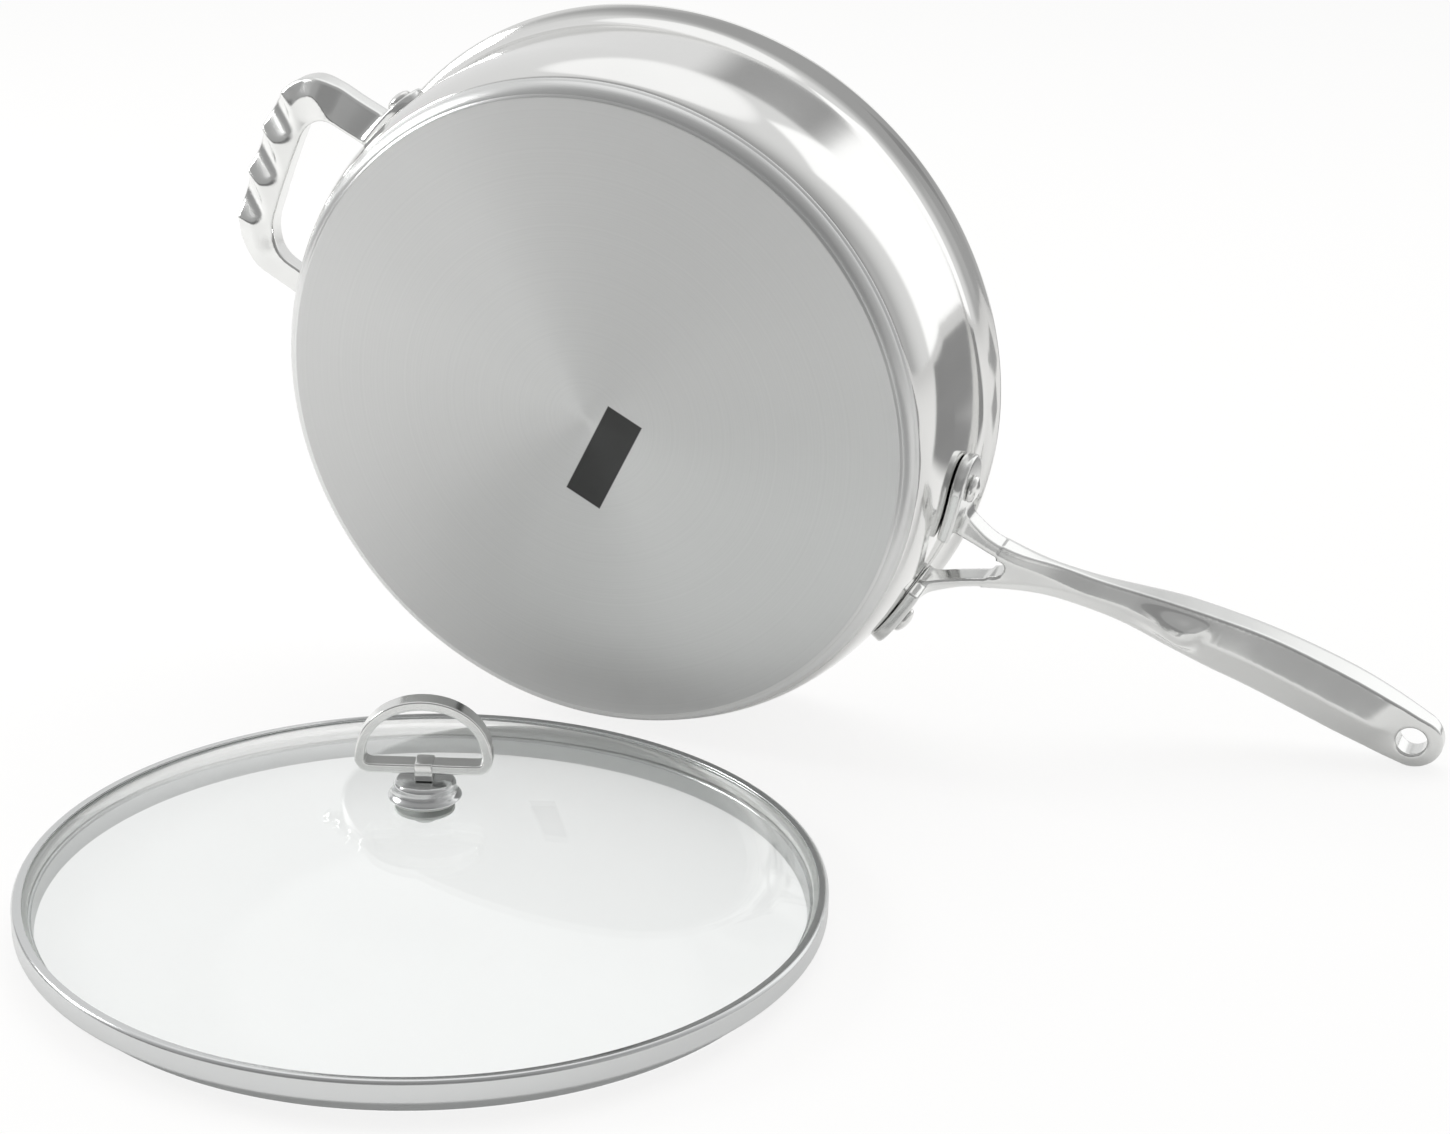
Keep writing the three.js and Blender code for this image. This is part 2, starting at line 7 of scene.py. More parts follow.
import bpy
import numpy as np
from mathutils import Matrix, Vector


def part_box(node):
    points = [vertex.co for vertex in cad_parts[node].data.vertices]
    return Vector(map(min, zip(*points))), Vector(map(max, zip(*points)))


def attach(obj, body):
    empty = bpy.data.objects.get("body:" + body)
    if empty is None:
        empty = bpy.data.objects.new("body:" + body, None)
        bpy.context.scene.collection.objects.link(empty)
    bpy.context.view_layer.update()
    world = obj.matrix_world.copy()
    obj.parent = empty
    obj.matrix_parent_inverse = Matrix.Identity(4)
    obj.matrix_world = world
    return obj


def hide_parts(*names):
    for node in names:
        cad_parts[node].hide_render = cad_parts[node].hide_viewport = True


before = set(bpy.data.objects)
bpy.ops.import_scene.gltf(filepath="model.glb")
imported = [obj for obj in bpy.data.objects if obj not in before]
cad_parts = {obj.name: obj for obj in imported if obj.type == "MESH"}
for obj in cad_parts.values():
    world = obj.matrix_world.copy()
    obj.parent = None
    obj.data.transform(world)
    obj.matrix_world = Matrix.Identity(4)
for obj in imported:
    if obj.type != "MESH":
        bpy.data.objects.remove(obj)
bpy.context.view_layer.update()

# Where the pan and the lid lie

YAW, LEAN, ROLL = np.radians([21.3, 6.0195, 23.7216])
rim_low, rim_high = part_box("lid_rim")
LID_PLACE = np.array([(rim_low.x + rim_high.x) / 2, (rim_low.y + rim_high.y) / 2, 0.0])
LID_AXES = np.eye(3)
LID_TO_PAN = np.array([0.0473, 0.1516, 0.138335])  # to the middle of the pan's base
PAN_PLACE = LID_PLACE + LID_TO_PAN
rightward = np.array([np.cos(YAW), -np.sin(YAW), 0.0])
mouthward = np.array([np.sin(YAW) * np.cos(LEAN), np.cos(YAW) * np.cos(LEAN), np.sin(LEAN)])
downward = np.cross(mouthward, rightward)
handleward = rightward * np.cos(ROLL) + downward * np.sin(ROLL)
PAN_AXES = np.array([handleward, np.cross(mouthward, handleward), mouthward])


# Surfaces


def eased(corners, radius, steps=6, closed=False):
    """A line of corners with every corner rounded off.

    Each corner gives way to a quadratic curve that leaves one edge and meets the next at the given
    distance from the corner, or at 0.42 of the shorter edge. One more point on each edge, close by,
    keeps the edge flat up to the curve. The ends of an open line stay as they are.
    """
    p = np.asarray(corners, float)
    back = np.roll(p, 1, axis=0) - p
    ahead = np.roll(p, -1, axis=0) - p
    back_length = np.linalg.norm(back, axis=1)[:, None]
    ahead_length = np.linalg.norm(ahead, axis=1)[:, None]
    shorter = np.minimum(back_length, ahead_length)
    cut = np.minimum(np.broadcast_to(np.reshape(radius, (-1, 1)), shorter.shape), 0.42 * shorter)
    start = p + back / back_length * cut
    end = p + ahead / ahead_length * cut
    t = np.linspace(0, 1, steps)[None, :, None]
    curve = (1 - t) ** 2 * start[:, None] + 2 * t * (1 - t) * p[:, None] + t**2 * end[:, None]
    before = (start + 0.15 * back / back_length * cut)[:, None]
    after = (end + 0.15 * ahead / ahead_length * cut)[:, None]
    rows = np.concatenate([before, curve, after], axis=1)
    if closed:
        return rows.reshape(-1, p.shape[1])
    return np.concatenate([p[:1], rows[1:-1].reshape(-1, p.shape[1]), p[-1:]])


def heel(start_radius, bottom, end_radius, top, steps=14):
    """Quarter of an ellipse from its lowest point out to its widest one."""
    a = np.linspace(0, np.pi / 2, steps)
    r = start_radius + (end_radius - start_radius) * np.sin(a)
    return np.stack([r, top - (top - bottom) * np.cos(a)], axis=1)


def lathe(profile, count=256):
    """Surface of revolution about Z.

    A profile point (r, z) at angle a goes to (r cos a, r sin a, z). A profile that begins and ends
    on the axis is closed by its two poles, any other by joining its last ring to its first.
    Returns points, faces and the (turn, place along the profile) pair of every face corner.
    """
    profile = np.asarray(profile, float)
    poles = profile[0, 0] < 1e-6
    rings = profile[1:-1] if poles else profile
    a = 2 * np.pi * np.arange(count) / count
    r, z = rings[:, :1], rings[:, 1:]
    points = np.stack([r * np.cos(a), r * np.sin(a), z + 0 * a], axis=-1).reshape(-1, 3)
    rows = len(rings)
    i = np.arange(rows - 1 if poles else rows)[:, None]
    j = np.arange(count)[None]
    up, on = (i + 1) % rows, (j + 1) % count
    quads = np.stack([i * count + j, i * count + on, up * count + on, up * count + j], -1)
    turn = np.stack([j + 0 * i, j + 1 + 0 * i, j + 1 + 0 * i, j + 0 * i], -1) / count
    place = np.stack([i + 0 * j, i + 0 * j, i + 1 + 0 * j, i + 1 + 0 * j], -1) / rows
    faces = quads.reshape(-1, 4).tolist()
    corners = np.stack([turn, place], -1).reshape(-1, 2)
    if poles:
        k = np.arange(count)
        n = (k + 1) % count
        low, high = len(points), len(points) + 1
        ends = np.array([[0, 0, profile[0, 1]], [0, 0, profile[-1, 1]]])
        points = np.concatenate([points, ends])
        last = (rows - 1) * count
        faces += np.stack([low + 0 * k, n, k], -1).tolist()
        faces += np.stack([high + 0 * k, last + k, last + n], -1).tolist()
        low_turn = np.stack([(k + 0.5) / count, (k + 1) / count, k / count], -1)
        high_turn = np.stack([(k + 0.5) / count, k / count, (k + 1) / count], -1)
        low_place = np.broadcast_to([0.0, 0.01, 0.01], (count, 3))
        high_place = np.broadcast_to([1.0, 0.99, 0.99], (count, 3))
        fans = [np.stack([low_turn, low_place], -1), np.stack([high_turn, high_place], -1)]
        corners = np.concatenate([corners, np.concatenate(fans).reshape(-1, 2)])
    return points, faces, corners


def carried(sections, ring=True, first=0):
    """A closed section carried along a path, one row of equal length for each path point.

    Row i holds the section at path point i, already in place; point (i, j) joins its neighbours
    round the section and along the path. A path that is no ring gets a flat face at each end. The
    points are numbered from first on.
    """
    rows, count = sections.shape[:2]
    i = np.arange(rows if ring else rows - 1)[:, None]
    j = np.arange(count)[None]
    up, on = (i + 1) % rows, (j + 1) % count
    quads = np.stack([i * count + j, i * count + on, up * count + on, up * count + j], -1)
    faces = (first + quads.reshape(-1, 4)).tolist()
    if not ring:
        end = first + np.arange(count)
        faces += [end[::-1].tolist(), (end + (rows - 1) * count).tolist()]
    return sections.reshape(-1, 3), faces


def smooth(value, none, full):
    """A soft step from 0 where the value is at none to 1 where it is at full, level at both."""
    share = np.clip((value - none) / (full - none), 0, 1)
    return share**2 * (3 - 2 * share)


def through(stations, x):
    """Smooth measures along a bar, read from a few rows that start with their distance.

    Between two rows each measure follows the cubic that has the rows' values and the slopes of the
    measured line there. Before the first row and after the last the end values hold.
    """
    rows = np.asarray(stations, float)
    at, value = rows[:, 0], rows[:, 1:]
    slope = np.gradient(value, at, axis=0)
    x = np.asarray(x, float)
    i = np.clip(np.searchsorted(at, x, "right") - 1, 0, len(at) - 2)
    span = at[i + 1] - at[i]
    t = np.clip((x - at[i]) / span, 0, 1)[..., None]
    span = span[..., None]
    a, b = value[i], value[i + 1]
    m, n = slope[i] * span, slope[i + 1] * span
    out = a + t * (m + t * (3 * (b - a) - 2 * m - n + t * (2 * (a - b) + m + n)))
    return np.moveaxis(out, -1, 0)


def blend_in(a, b, soft):
    """Smaller of two distances, with the corner between them filled over the given softness."""
    h = np.clip(0.5 + 0.5 * (b - a) / soft, 0, 1)
    return b + (a - b) * h - soft * h * (1 - h)


def cut_by(a, b, soft):
    """Larger of two distances, with the edge between them rounded over the given softness."""
    return -blend_in(-a, -b, soft)


def skin(field, low, high, cell):
    """Closed surface on which a signed distance field is zero.

    The field is read on a grid. Each grid cube that the surface crosses gets one point, the mean of
    the crossings on its edges, moved along the field's slope until the field is zero there. Each
    grid edge that crosses the surface gets the face between the four cubes round it.
    """
    x, y, z = (np.arange(a, b + cell, cell) for a, b in zip(low, high))
    f = field(x[:, None, None], y[None, :, None], z[None, None, :]).astype(np.float32)
    inside = f < 0
    offset = np.array([[i, j, k] for i in (0, 1) for j in (0, 1) for k in (0, 1)])
    size = np.array(f.shape) - 1
    views = [inside[i : i + size[0], j : j + size[1], k : k + size[2]] for i, j, k in offset]
    filled = sum(v.astype(np.int8) for v in views)
    crossed = (filled > 0) & (filled < 8)
    cells = np.argwhere(crossed)
    number = np.full(crossed.shape, -1, np.int32)
    number[crossed] = np.arange(len(cells), dtype=np.int32)
    at = cells[:, None, :] + offset
    value = f[at[..., 0], at[..., 1], at[..., 2]]
    edges = np.array([(0, 1), (2, 3), (4, 5), (6, 7), (0, 2), (1, 3), (4, 6), (5, 7)])
    edges = np.concatenate([edges, [(0, 4), (1, 5), (2, 6), (3, 7)]])
    a, b = value[:, edges[:, 0]], value[:, edges[:, 1]]
    split = (a < 0) != (b < 0)
    share = np.where(split, a / np.where(split, a - b, 1), 0)[..., None]
    on_edge = offset[edges[:, 0]] + share * (offset[edges[:, 1]] - offset[edges[:, 0]])
    mean = (on_edge * split[..., None]).sum(1) / split.sum(1)[:, None]
    points = np.array([x[0], y[0], z[0]]) + (cells + mean) * cell
    step, farthest, passes = 0.15 * cell, 0.5 * cell, 4
    for _ in range(passes):
        here = field(*points.T)
        slope = np.stack([
            field(*(points + step * d).T) - field(*(points - step * d).T) for d in np.eye(3)
        ], -1) / (2 * step)
        move = here[:, None] * slope / np.maximum((slope**2).sum(1), 0.05)[:, None]
        length = np.linalg.norm(move, axis=1)[:, None]
        points = points - move * np.minimum(1, farthest / np.maximum(length, 1e-9))
    faces = []
    for axis in range(3):
        one, two = (axis + 1) % 3, (axis + 2) % 3
        grid = np.argwhere(inside != np.roll(inside, -1, axis))
        keep = (grid[:, axis] < size[axis]) & (grid[:, one] > 0) & (grid[:, two] > 0)
        grid = grid[keep & (grid[:, one] < size[one]) & (grid[:, two] < size[two])]
        ring = np.repeat(grid[:, None], 4, axis=1)
        ring[:, [0, 3], one] -= 1
        ring[:, [0, 1], two] -= 1
        quad = number[ring[..., 0], ring[..., 1], ring[..., 2]]
        outward = inside[grid[:, 0], grid[:, 1], grid[:, 2]]
        faces.append(np.where(outward[:, None], quad, quad[:, ::-1]))
    return points, np.concatenate(faces).tolist()


def piece(name, points, faces, body, node, materials, corners=None, which=None):
    """Sets a surface down in the shared frame as a smooth mesh that stands for a CAD node."""
    axes, place = (PAN_AXES, PAN_PLACE) if body == "pan" else (LID_AXES, LID_PLACE)
    mesh = bpy.data.meshes.new(name)
    mesh.from_pydata(np.asarray(points) / 1000 @ axes + place, [], faces)
    mesh.polygons.foreach_set("use_smooth", np.ones(len(mesh.polygons), bool))
    if corners is not None:
        layer = mesh.uv_layers.new(name="round")
        layer.data.foreach_set("uv", np.asarray(corners, np.float32).ravel())
    for material in materials:
        mesh.materials.append(material)
    if which is not None:
        mesh.polygons.foreach_set("material_index", np.asarray(which, np.int32))
    mesh.update()
    thing = bpy.data.objects.new(name, mesh)
    bpy.context.scene.collection.objects.link(thing)
    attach(thing, body)
    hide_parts(node)


# Materials


def new_group(name, inputs, outputs):
    """A shader node group with named sockets; inputs come as (kind, name, starting value)."""
    tree = bpy.data.node_groups.new(name, "ShaderNodeTree")
    for kind, label, value in inputs:
        socket = tree.interface.new_socket(label, in_out="INPUT", socket_type="NodeSocket" + kind)
        if value is not None:
            socket.default_value = value
    for kind, label in outputs:
        tree.interface.new_socket(label, in_out="OUTPUT", socket_type="NodeSocket" + kind)
    return tree, tree.nodes.new("NodeGroupInput"), tree.nodes.new("NodeGroupOutput")


def wire(tree, kind, settings=None, **links):
    """Adds a node, sets its properties and feeds its sockets with links or values.

    A socket is named with _ for each space, or by its number, as in i0.
    """
    node = tree.nodes.new(kind)
    for key, value in (settings or {}).items():
        setattr(node, key, value)
    for key, value in links.items():
        label = key.replace("_", " ").strip()
        numbered = label[0] == "i" and label[1:].isdigit()
        socket = node.inputs[int(label[1:]) if numbered else label]
        if isinstance(value, bpy.types.NodeSocket):
            tree.links.new(value, socket)
        else:
            socket.default_value = value
    return node


def maths(tree, operation, first, second=0.0, third=0.0):
    """One step of arithmetic on links or numbers."""
    node = wire(tree, "ShaderNodeMath", {"operation": operation}, i0=first, i1=second, i2=third)
    return node.outputs[0]


def polish_marks():
    """Faint cloudiness and hair-fine marks of a polished surface: roughness and height."""
    tree, given, result = new_group(
        "polish marks",
        [("Vector", "Vector", None), ("Float", "Grain", 60.0), ("Float", "Roughness", 0.1),
         ("Float", "Spread", 0.05)],
        [("Float", "Roughness"), ("Float", "Height")],
    )
    cloud = wire(tree, "ShaderNodeTexNoise", Vector=given.outputs["Vector"],
                 Scale=given.outputs["Grain"], Detail=3.0)
    fine = wire(tree, "ShaderNodeTexNoise", Vector=given.outputs["Vector"],
                Scale=maths(tree, "MULTIPLY", given.outputs["Grain"], 14.0), Detail=2.0)
    both = maths(tree, "MULTIPLY_ADD", fine.outputs["Fac"], 0.4, cloud.outputs["Fac"])
    centred = maths(tree, "SUBTRACT", both, 0.7)
    spread = maths(tree, "MULTIPLY_ADD", centred, given.outputs["Spread"],
                   given.outputs["Roughness"])
    tree.links.new(maths(tree, "MAXIMUM", spread, 0.02), result.inputs["Roughness"])
    tree.links.new(cloud.outputs["Fac"], result.inputs["Height"])
    return tree


def ring_brush():
    """Fine rings round the Z axis of the given coordinates: a shade near 1 and a height."""
    tree, given, result = new_group(
        "ring brush",
        [("Vector", "Vector", None), ("Float", "Lines", 900.0), ("Float", "Contrast", 0.1)],
        [("Float", "Shade"), ("Float", "Height")],
    )
    apart = wire(tree, "ShaderNodeSeparateXYZ", Vector=given.outputs["Vector"])
    across = maths(tree, "MULTIPLY", apart.outputs["Y"], apart.outputs["Y"])
    squares = maths(tree, "MULTIPLY_ADD", apart.outputs["X"], apart.outputs["X"], across)
    radius = maths(tree, "SQRT", squares)
    drift = wire(tree, "ShaderNodeTexNoise", Vector=given.outputs["Vector"], Scale=9.0, Detail=1.0)
    wander = maths(tree, "MULTIPLY_ADD", drift.outputs["Fac"], 0.0006, radius)
    broad = wire(tree, "ShaderNodeTexNoise", {"noise_dimensions": "1D"},
                 W=maths(tree, "MULTIPLY", wander, given.outputs["Lines"]), Scale=1.0, Detail=4.0)
    finer = maths(tree, "MULTIPLY", given.outputs["Lines"], 3.7)
    fine = wire(tree, "ShaderNodeTexNoise", {"noise_dimensions": "1D"},
                W=maths(tree, "MULTIPLY", radius, finer), Scale=1.0, Detail=2.0)
    lines = maths(tree, "MULTIPLY_ADD", fine.outputs["Fac"], 0.5,
                  maths(tree, "MULTIPLY", broad.outputs["Fac"], 0.5))
    centred = maths(tree, "SUBTRACT", lines, 0.5)
    shade = maths(tree, "MULTIPLY_ADD", centred, given.outputs["Contrast"], 1.0)
    tree.links.new(shade, result.inputs["Shade"])
    tree.links.new(lines, result.inputs["Height"])
    return tree


def etched_plate():
    """1 inside a rectangle of the given half sizes round the origin of the coordinates, else 0."""
    tree, given, result = new_group(
        "etched plate",
        [("Vector", "Vector", None), ("Float", "Half Width", 0.008),
         ("Float", "Half Height", 0.021)],
        [("Float", "Mask")],
    )
    apart = wire(tree, "ShaderNodeSeparateXYZ", Vector=given.outputs["Vector"])
    across = maths(tree, "ABSOLUTE", apart.outputs["X"])
    along = maths(tree, "ABSOLUTE", apart.outputs["Y"])
    edge = maths(tree, "MAXIMUM", maths(tree, "SUBTRACT", across, given.outputs["Half Width"]),
                 maths(tree, "SUBTRACT", along, given.outputs["Half Height"]))
    soft = 0.00025
    mask = wire(tree, "ShaderNodeMapRange", {"interpolation_type": "SMOOTHSTEP"}, Value=edge,
                From_Min=soft, From_Max=-soft)
    tree.links.new(mask.outputs["Result"], result.inputs["Mask"])
    return tree


POLISH_MARKS = polish_marks()
RING_BRUSH = ring_brush()
ETCHED_PLATE = etched_plate()


def in_frame(tree, place, axes):
    """The point's place in a body's own frame, in metres."""
    coords = wire(tree, "ShaderNodeTexCoord")
    turn = Matrix(np.asarray(axes).T.tolist()).to_euler()
    mapping = wire(tree, "ShaderNodeMapping", {"vector_type": "TEXTURE"},
                   Vector=coords.outputs["Object"], Location=Vector(place), Rotation=turn)
    return mapping.outputs["Vector"]


def new_material(name):
    """An empty material with its shader: returns material, node tree and shader node."""
    material = bpy.data.materials.new(name)
    material.use_nodes = True
    tree = material.node_tree
    return material, tree, tree.nodes["Principled BSDF"]


def bumped(tree, shader, depth, height):
    """Feeds a shader's normal with a bump of the given depth, in metres."""
    bump = wire(tree, "ShaderNodeBump", Strength=1.0, Distance=depth, Height=height)
    tree.links.new(bump.outputs["Normal"], shader.inputs["Normal"])


def marks_on(tree, shader, vector, grain, roughness, spread, depth):
    """Feeds a shader's roughness and bump with polish marks."""
    marks = wire(tree, "ShaderNodeGroup", {"node_tree": POLISH_MARKS}, Vector=vector, Grain=grain,
                 Roughness=roughness, Spread=spread)
    tree.links.new(marks.outputs["Roughness"], shader.inputs["Roughness"])
    bumped(tree, shader, depth, marks.outputs["Height"])
    return marks


def shaded(tree, shader, color, amount):
    """Feeds a shader's colour with one colour made lighter or darker by an amount near 1."""
    mix = wire(tree, "ShaderNodeVectorMath", {"operation": "SCALE"}, i0=color, Scale=amount)
    tree.links.new(mix.outputs["Vector"], shader.inputs["Base Color"])


def polished_steel(name, color, grain, roughness, spread, depth):
    """Polished steel: mirror-like, with faint clouds in colour and roughness."""
    material, tree, shader = new_material(name)
    vector = wire(tree, "ShaderNodeTexCoord").outputs["Object"]
    marks = marks_on(tree, shader, vector, grain, roughness, spread, depth)
    shade = maths(tree, "MULTIPLY_ADD", marks.outputs["Height"], 0.06, 0.97)
    shaded(tree, shader, color, shade)
    shader.inputs["Metallic"].default_value = 1.0
    return material


def ringed_steel(name, color, place, axes, lines, contrast, roughness, stretch, depth, plate=None):
    """Steel brushed in rings: light is drawn out across the rings, and a plate may be etched.

    The plate comes as its middle, its turn, its half sizes and how dark it is.
    """
    material, tree, shader = new_material(name)
    vector = in_frame(tree, place, axes)
    rings = wire(tree, "ShaderNodeGroup", {"node_tree": RING_BRUSH}, Vector=vector, Lines=lines,
                 Contrast=contrast)
    shade = rings.outputs["Shade"]
    rough = maths(tree, "MULTIPLY_ADD", rings.outputs["Height"], 0.1, roughness - 0.05)
    if plate is not None:
        centre, turn, half_width, half_height, darkening = plate
        own = wire(tree, "ShaderNodeMapping", {"vector_type": "TEXTURE"}, Vector=vector,
                   Location=Vector((*centre, 0.0)), Rotation=Vector((0.0, 0.0, turn)))
        mask = wire(tree, "ShaderNodeGroup", {"node_tree": ETCHED_PLATE},
                    Vector=own.outputs["Vector"], Half_Width=half_width, Half_Height=half_height)
        dark = maths(tree, "MULTIPLY_ADD", mask.outputs["Mask"], darkening - 1.0, 1.0)
        shade = maths(tree, "MULTIPLY", shade, dark)
        rough = maths(tree, "MULTIPLY_ADD", mask.outputs["Mask"], 0.12, rough)
    shaded(tree, shader, color, shade)
    tree.links.new(rough, shader.inputs["Roughness"])
    bumped(tree, shader, depth, rings.outputs["Height"])
    tangent = wire(tree, "ShaderNodeTangent", {"direction_type": "UV_MAP", "uv_map": "round"})
    tree.links.new(tangent.outputs["Tangent"], shader.inputs["Tangent"])
    shader.inputs["Metallic"].default_value = 1.0
    shader.inputs["Anisotropic"].default_value = stretch
    shader.inputs["Anisotropic Rotation"].default_value = 0.25  # a quarter turn: across the rings
    return material


def clear_glass(name):
    """Clear tempered glass with a cool tint; light passes it on its way to the floor."""
    material, tree, shader = new_material(name)
    vector = wire(tree, "ShaderNodeTexCoord").outputs["Object"]
    cloud = wire(tree, "ShaderNodeTexNoise", Vector=vector, Scale=18.0, Detail=2.0)
    tint = maths(tree, "MULTIPLY_ADD", cloud.outputs["Fac"], 0.02, 0.985)
    shaded(tree, shader, (0.93, 0.945, 0.94), tint)
    tree.links.new(maths(tree, "MULTIPLY", cloud.outputs["Fac"], 0.015), shader.inputs["Roughness"])
    shader.inputs["Transmission Weight"].default_value = 1.0
    shader.inputs["IOR"].default_value = 1.36
    path = wire(tree, "ShaderNodeLightPath")
    passing = wire(tree, "ShaderNodeBsdfTransparent", Color=(0.985, 0.992, 0.99, 1.0))
    mix = wire(tree, "ShaderNodeMixShader", i0=path.outputs["Is Shadow Ray"],
               i1=shader.outputs["BSDF"], i2=passing.outputs["BSDF"])
    tree.links.new(mix.outputs["Shader"], tree.nodes["Material Output"].inputs["Surface"])
    return material


def silicone_rubber(name):
    """Milky silicone: matt, with a faint unevenness."""
    material, tree, shader = new_material(name)
    vector = wire(tree, "ShaderNodeTexCoord").outputs["Object"]
    marks = marks_on(tree, shader, vector, grain=220.0, roughness=0.55, spread=0.1, depth=0.0001)
    shade = maths(tree, "MULTIPLY_ADD", marks.outputs["Height"], 0.1, 0.95)
    shaded(tree, shader, (0.72, 0.73, 0.71), shade)
    return material


POLISHED = polished_steel("polished steel", (0.78, 0.78, 0.77), grain=30.0, roughness=0.1,
                          spread=0.06, depth=0.00003)
CAST = polished_steel("cast steel", (0.76, 0.765, 0.755), grain=45.0, roughness=0.19, spread=0.08,
                      depth=0.00008)
ALUMINIUM = polished_steel("aluminium", (0.62, 0.63, 0.65), grain=120.0, roughness=0.45,
                           spread=0.1, depth=0.0001)
BRUSHED = ringed_steel("brushed steel", (0.66, 0.665, 0.66), PAN_PLACE, PAN_AXES, lines=900.0,
                       contrast=0.14, roughness=0.42, stretch=0.75, depth=0.000004,
                       plate=((0.0126, 0.0110), np.radians(3.5), 0.008, 0.0212, 0.13))
EDGE = ringed_steel("edge steel", (0.70, 0.705, 0.70), PAN_PLACE, PAN_AXES, lines=900.0,
                    contrast=0.1, roughness=0.33, stretch=0.4, depth=0.000003)
BAND = ringed_steel("band steel", (0.66, 0.67, 0.67), LID_PLACE, LID_AXES, lines=1500.0,
                    contrast=0.1, roughness=0.2, stretch=0.5, depth=0.000003)
GLASS = clear_glass("clear glass")
SILICONE = silicone_rubber("silicone")


# Pan: vessel and base

INSIDE, WALL = 140.0, 141.0  # radius of the wall's two faces
UNDER, BOTTOM, HEEL_TOP = 6.2, 7.2, 34  # heights of the bottom's two faces and of the heel's end
lip_outside = [
    (WALL, 61), (141.05, 63.4), (141.35, 65.8), (142.0, 68.2), (143.1, 70.3), (144.6, 71.9),
    (146.0, 73.0), (146.9, 74.1), (147.0, 74.9),
]
lip_inside = [
    (146.5, 75.4), (145.6, 74.9), (143.8, 73.1), (142.3, 71.3), (141.1, 69.2), (140.3, 66),
    (INSIDE, 62),
]
outer_heel = heel(131.7, 4.5, WALL, HEEL_TOP, 40)
above_cap = outer_heel[:, 1] > 7.3
vessel = np.concatenate([
    [(0, UNDER), (60, UNDER), (125, UNDER), (133.4, UNDER), (134.6, 6.7)],
    outer_heel[above_cap],
    [(WALL, 37), (WALL, 46), (WALL, 58)],
    eased(lip_outside + lip_inside, 1.6, 5),
    [(INSIDE, 58), (INSIDE, 46), (INSIDE, 37)],
    heel(131.2, BOTTOM, INSIDE, HEEL_TOP, 24)[::-1],
    [(125, BOTTOM), (60, BOTTOM), (0, BOTTOM)],
])
points, faces, _ = lathe(vessel, 320)
piece("pan_vessel", points, faces, "pan", "pan_body", [POLISHED])

# The cap's bevel is a quadratic curve from the flat face up to the seam.
CAP_THICK, CAP_FLAT, CAP_TURNS = 0.6, 129.5, 320
t = np.linspace(0, 1, 14)[:, None]
bevel = (1 - t) ** 2 * (130.0, 0.1) + 2 * t * (1 - t) * (133.3, 2.5) + t**2 * (135.5, 6.8)
cap = np.concatenate([
    [(0, 0), (2, 0), (20, 0), (60, 0), (100, 0), (127, 0), (129.3, 0), (129.7, 0.02)],
    bevel,
    [(135.45, 6.95), (135.2, 7.0)],
    heel(129.7, CAP_THICK, 134.9, 6.9, 10)[::-1],
    [(60, CAP_THICK), (0, CAP_THICK)],
])
points, faces, corners = lathe(cap, CAP_TURNS)
past_flat = np.repeat(cap[1:-2, 0] > CAP_FLAT, CAP_TURNS)
edge_faces = np.concatenate([past_flat, np.zeros(2 * CAP_TURNS, bool)])
piece("base_disc", points, faces, "pan", "base_cap", [BRUSHED, EDGE], corners,
      edge_faces)

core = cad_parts["base_core"]
core.data.materials.clear()
core.data.materials.append(ALUMINIUM)

# Pan: rivets

FIT = 0.3  # gap between neighbours
HEAD, SHANK, BRIM, DOME = 5.6, 3.0, 0.5, 2.6  # radii of a rivet, heights of its outer head
LONG_FOOT = {"thickness": 5.2, "near": 14, "far": 47, "low": 33, "high": 60}
HELPER_FOOT = {"thickness": 4.2, "near": 36, "far": 65, "low": 39, "high": 61}


def rivet(name, turn, height, thickness):
    """Round-headed rivet along the radius at the given turn: dome outside, flat head inside.

    The outer head sits on a foot of the given thickness.
    """
    seat, inside = WALL + 2 * FIT + thickness, INSIDE - 2 * FIT
    dome = np.linspace(0, np.pi / 2, 9)[1:]
    head = np.stack([HEAD * np.cos(dome), seat + BRIM + DOME * np.sin(dome)], axis=1)
    flat = [(0, inside - 1.8), (4.4, inside - 1.7), (HEAD, inside - 0.8), (HEAD, inside)]
    shank = [(SHANK, inside), (SHANK, seat), (5.5, seat), (HEAD, seat + 0.1), (HEAD, seat + BRIM)]
    profile = np.concatenate([eased(flat, 0.5, 4), shank, head])
    profile[-1, 0] = 0.0
    points, faces, _ = lathe(profile, 48)
    along = np.array([np.cos(turn), np.sin(turn), 0.0])
    across = np.array([-np.sin(turn), np.cos(turn), 0.0])
    placed = points @ np.array([across, [0, 0, 1], along]) + np.array([0, 0, height])
    piece(name + "_head", placed, faces, "pan", name, [POLISHED])


LONG_TURN, HELPER_TURN = 33 / WALL, 54.5 / WALL
LONG_HEIGHT, HELPER_HEIGHT = 46.5, 50.0
rivet("long_handle_rivet_upper", -LONG_TURN, LONG_HEIGHT, LONG_FOOT["thickness"])
rivet("long_handle_rivet_lower", LONG_TURN, LONG_HEIGHT, LONG_FOOT["thickness"])
rivet("helper_handle_rivet_upper", np.pi + HELPER_TURN, HELPER_HEIGHT, HELPER_FOOT["thickness"])
rivet("helper_handle_rivet_lower", np.pi - HELPER_TURN, HELPER_HEIGHT, HELPER_FOOT["thickness"])

# Pan: long handle

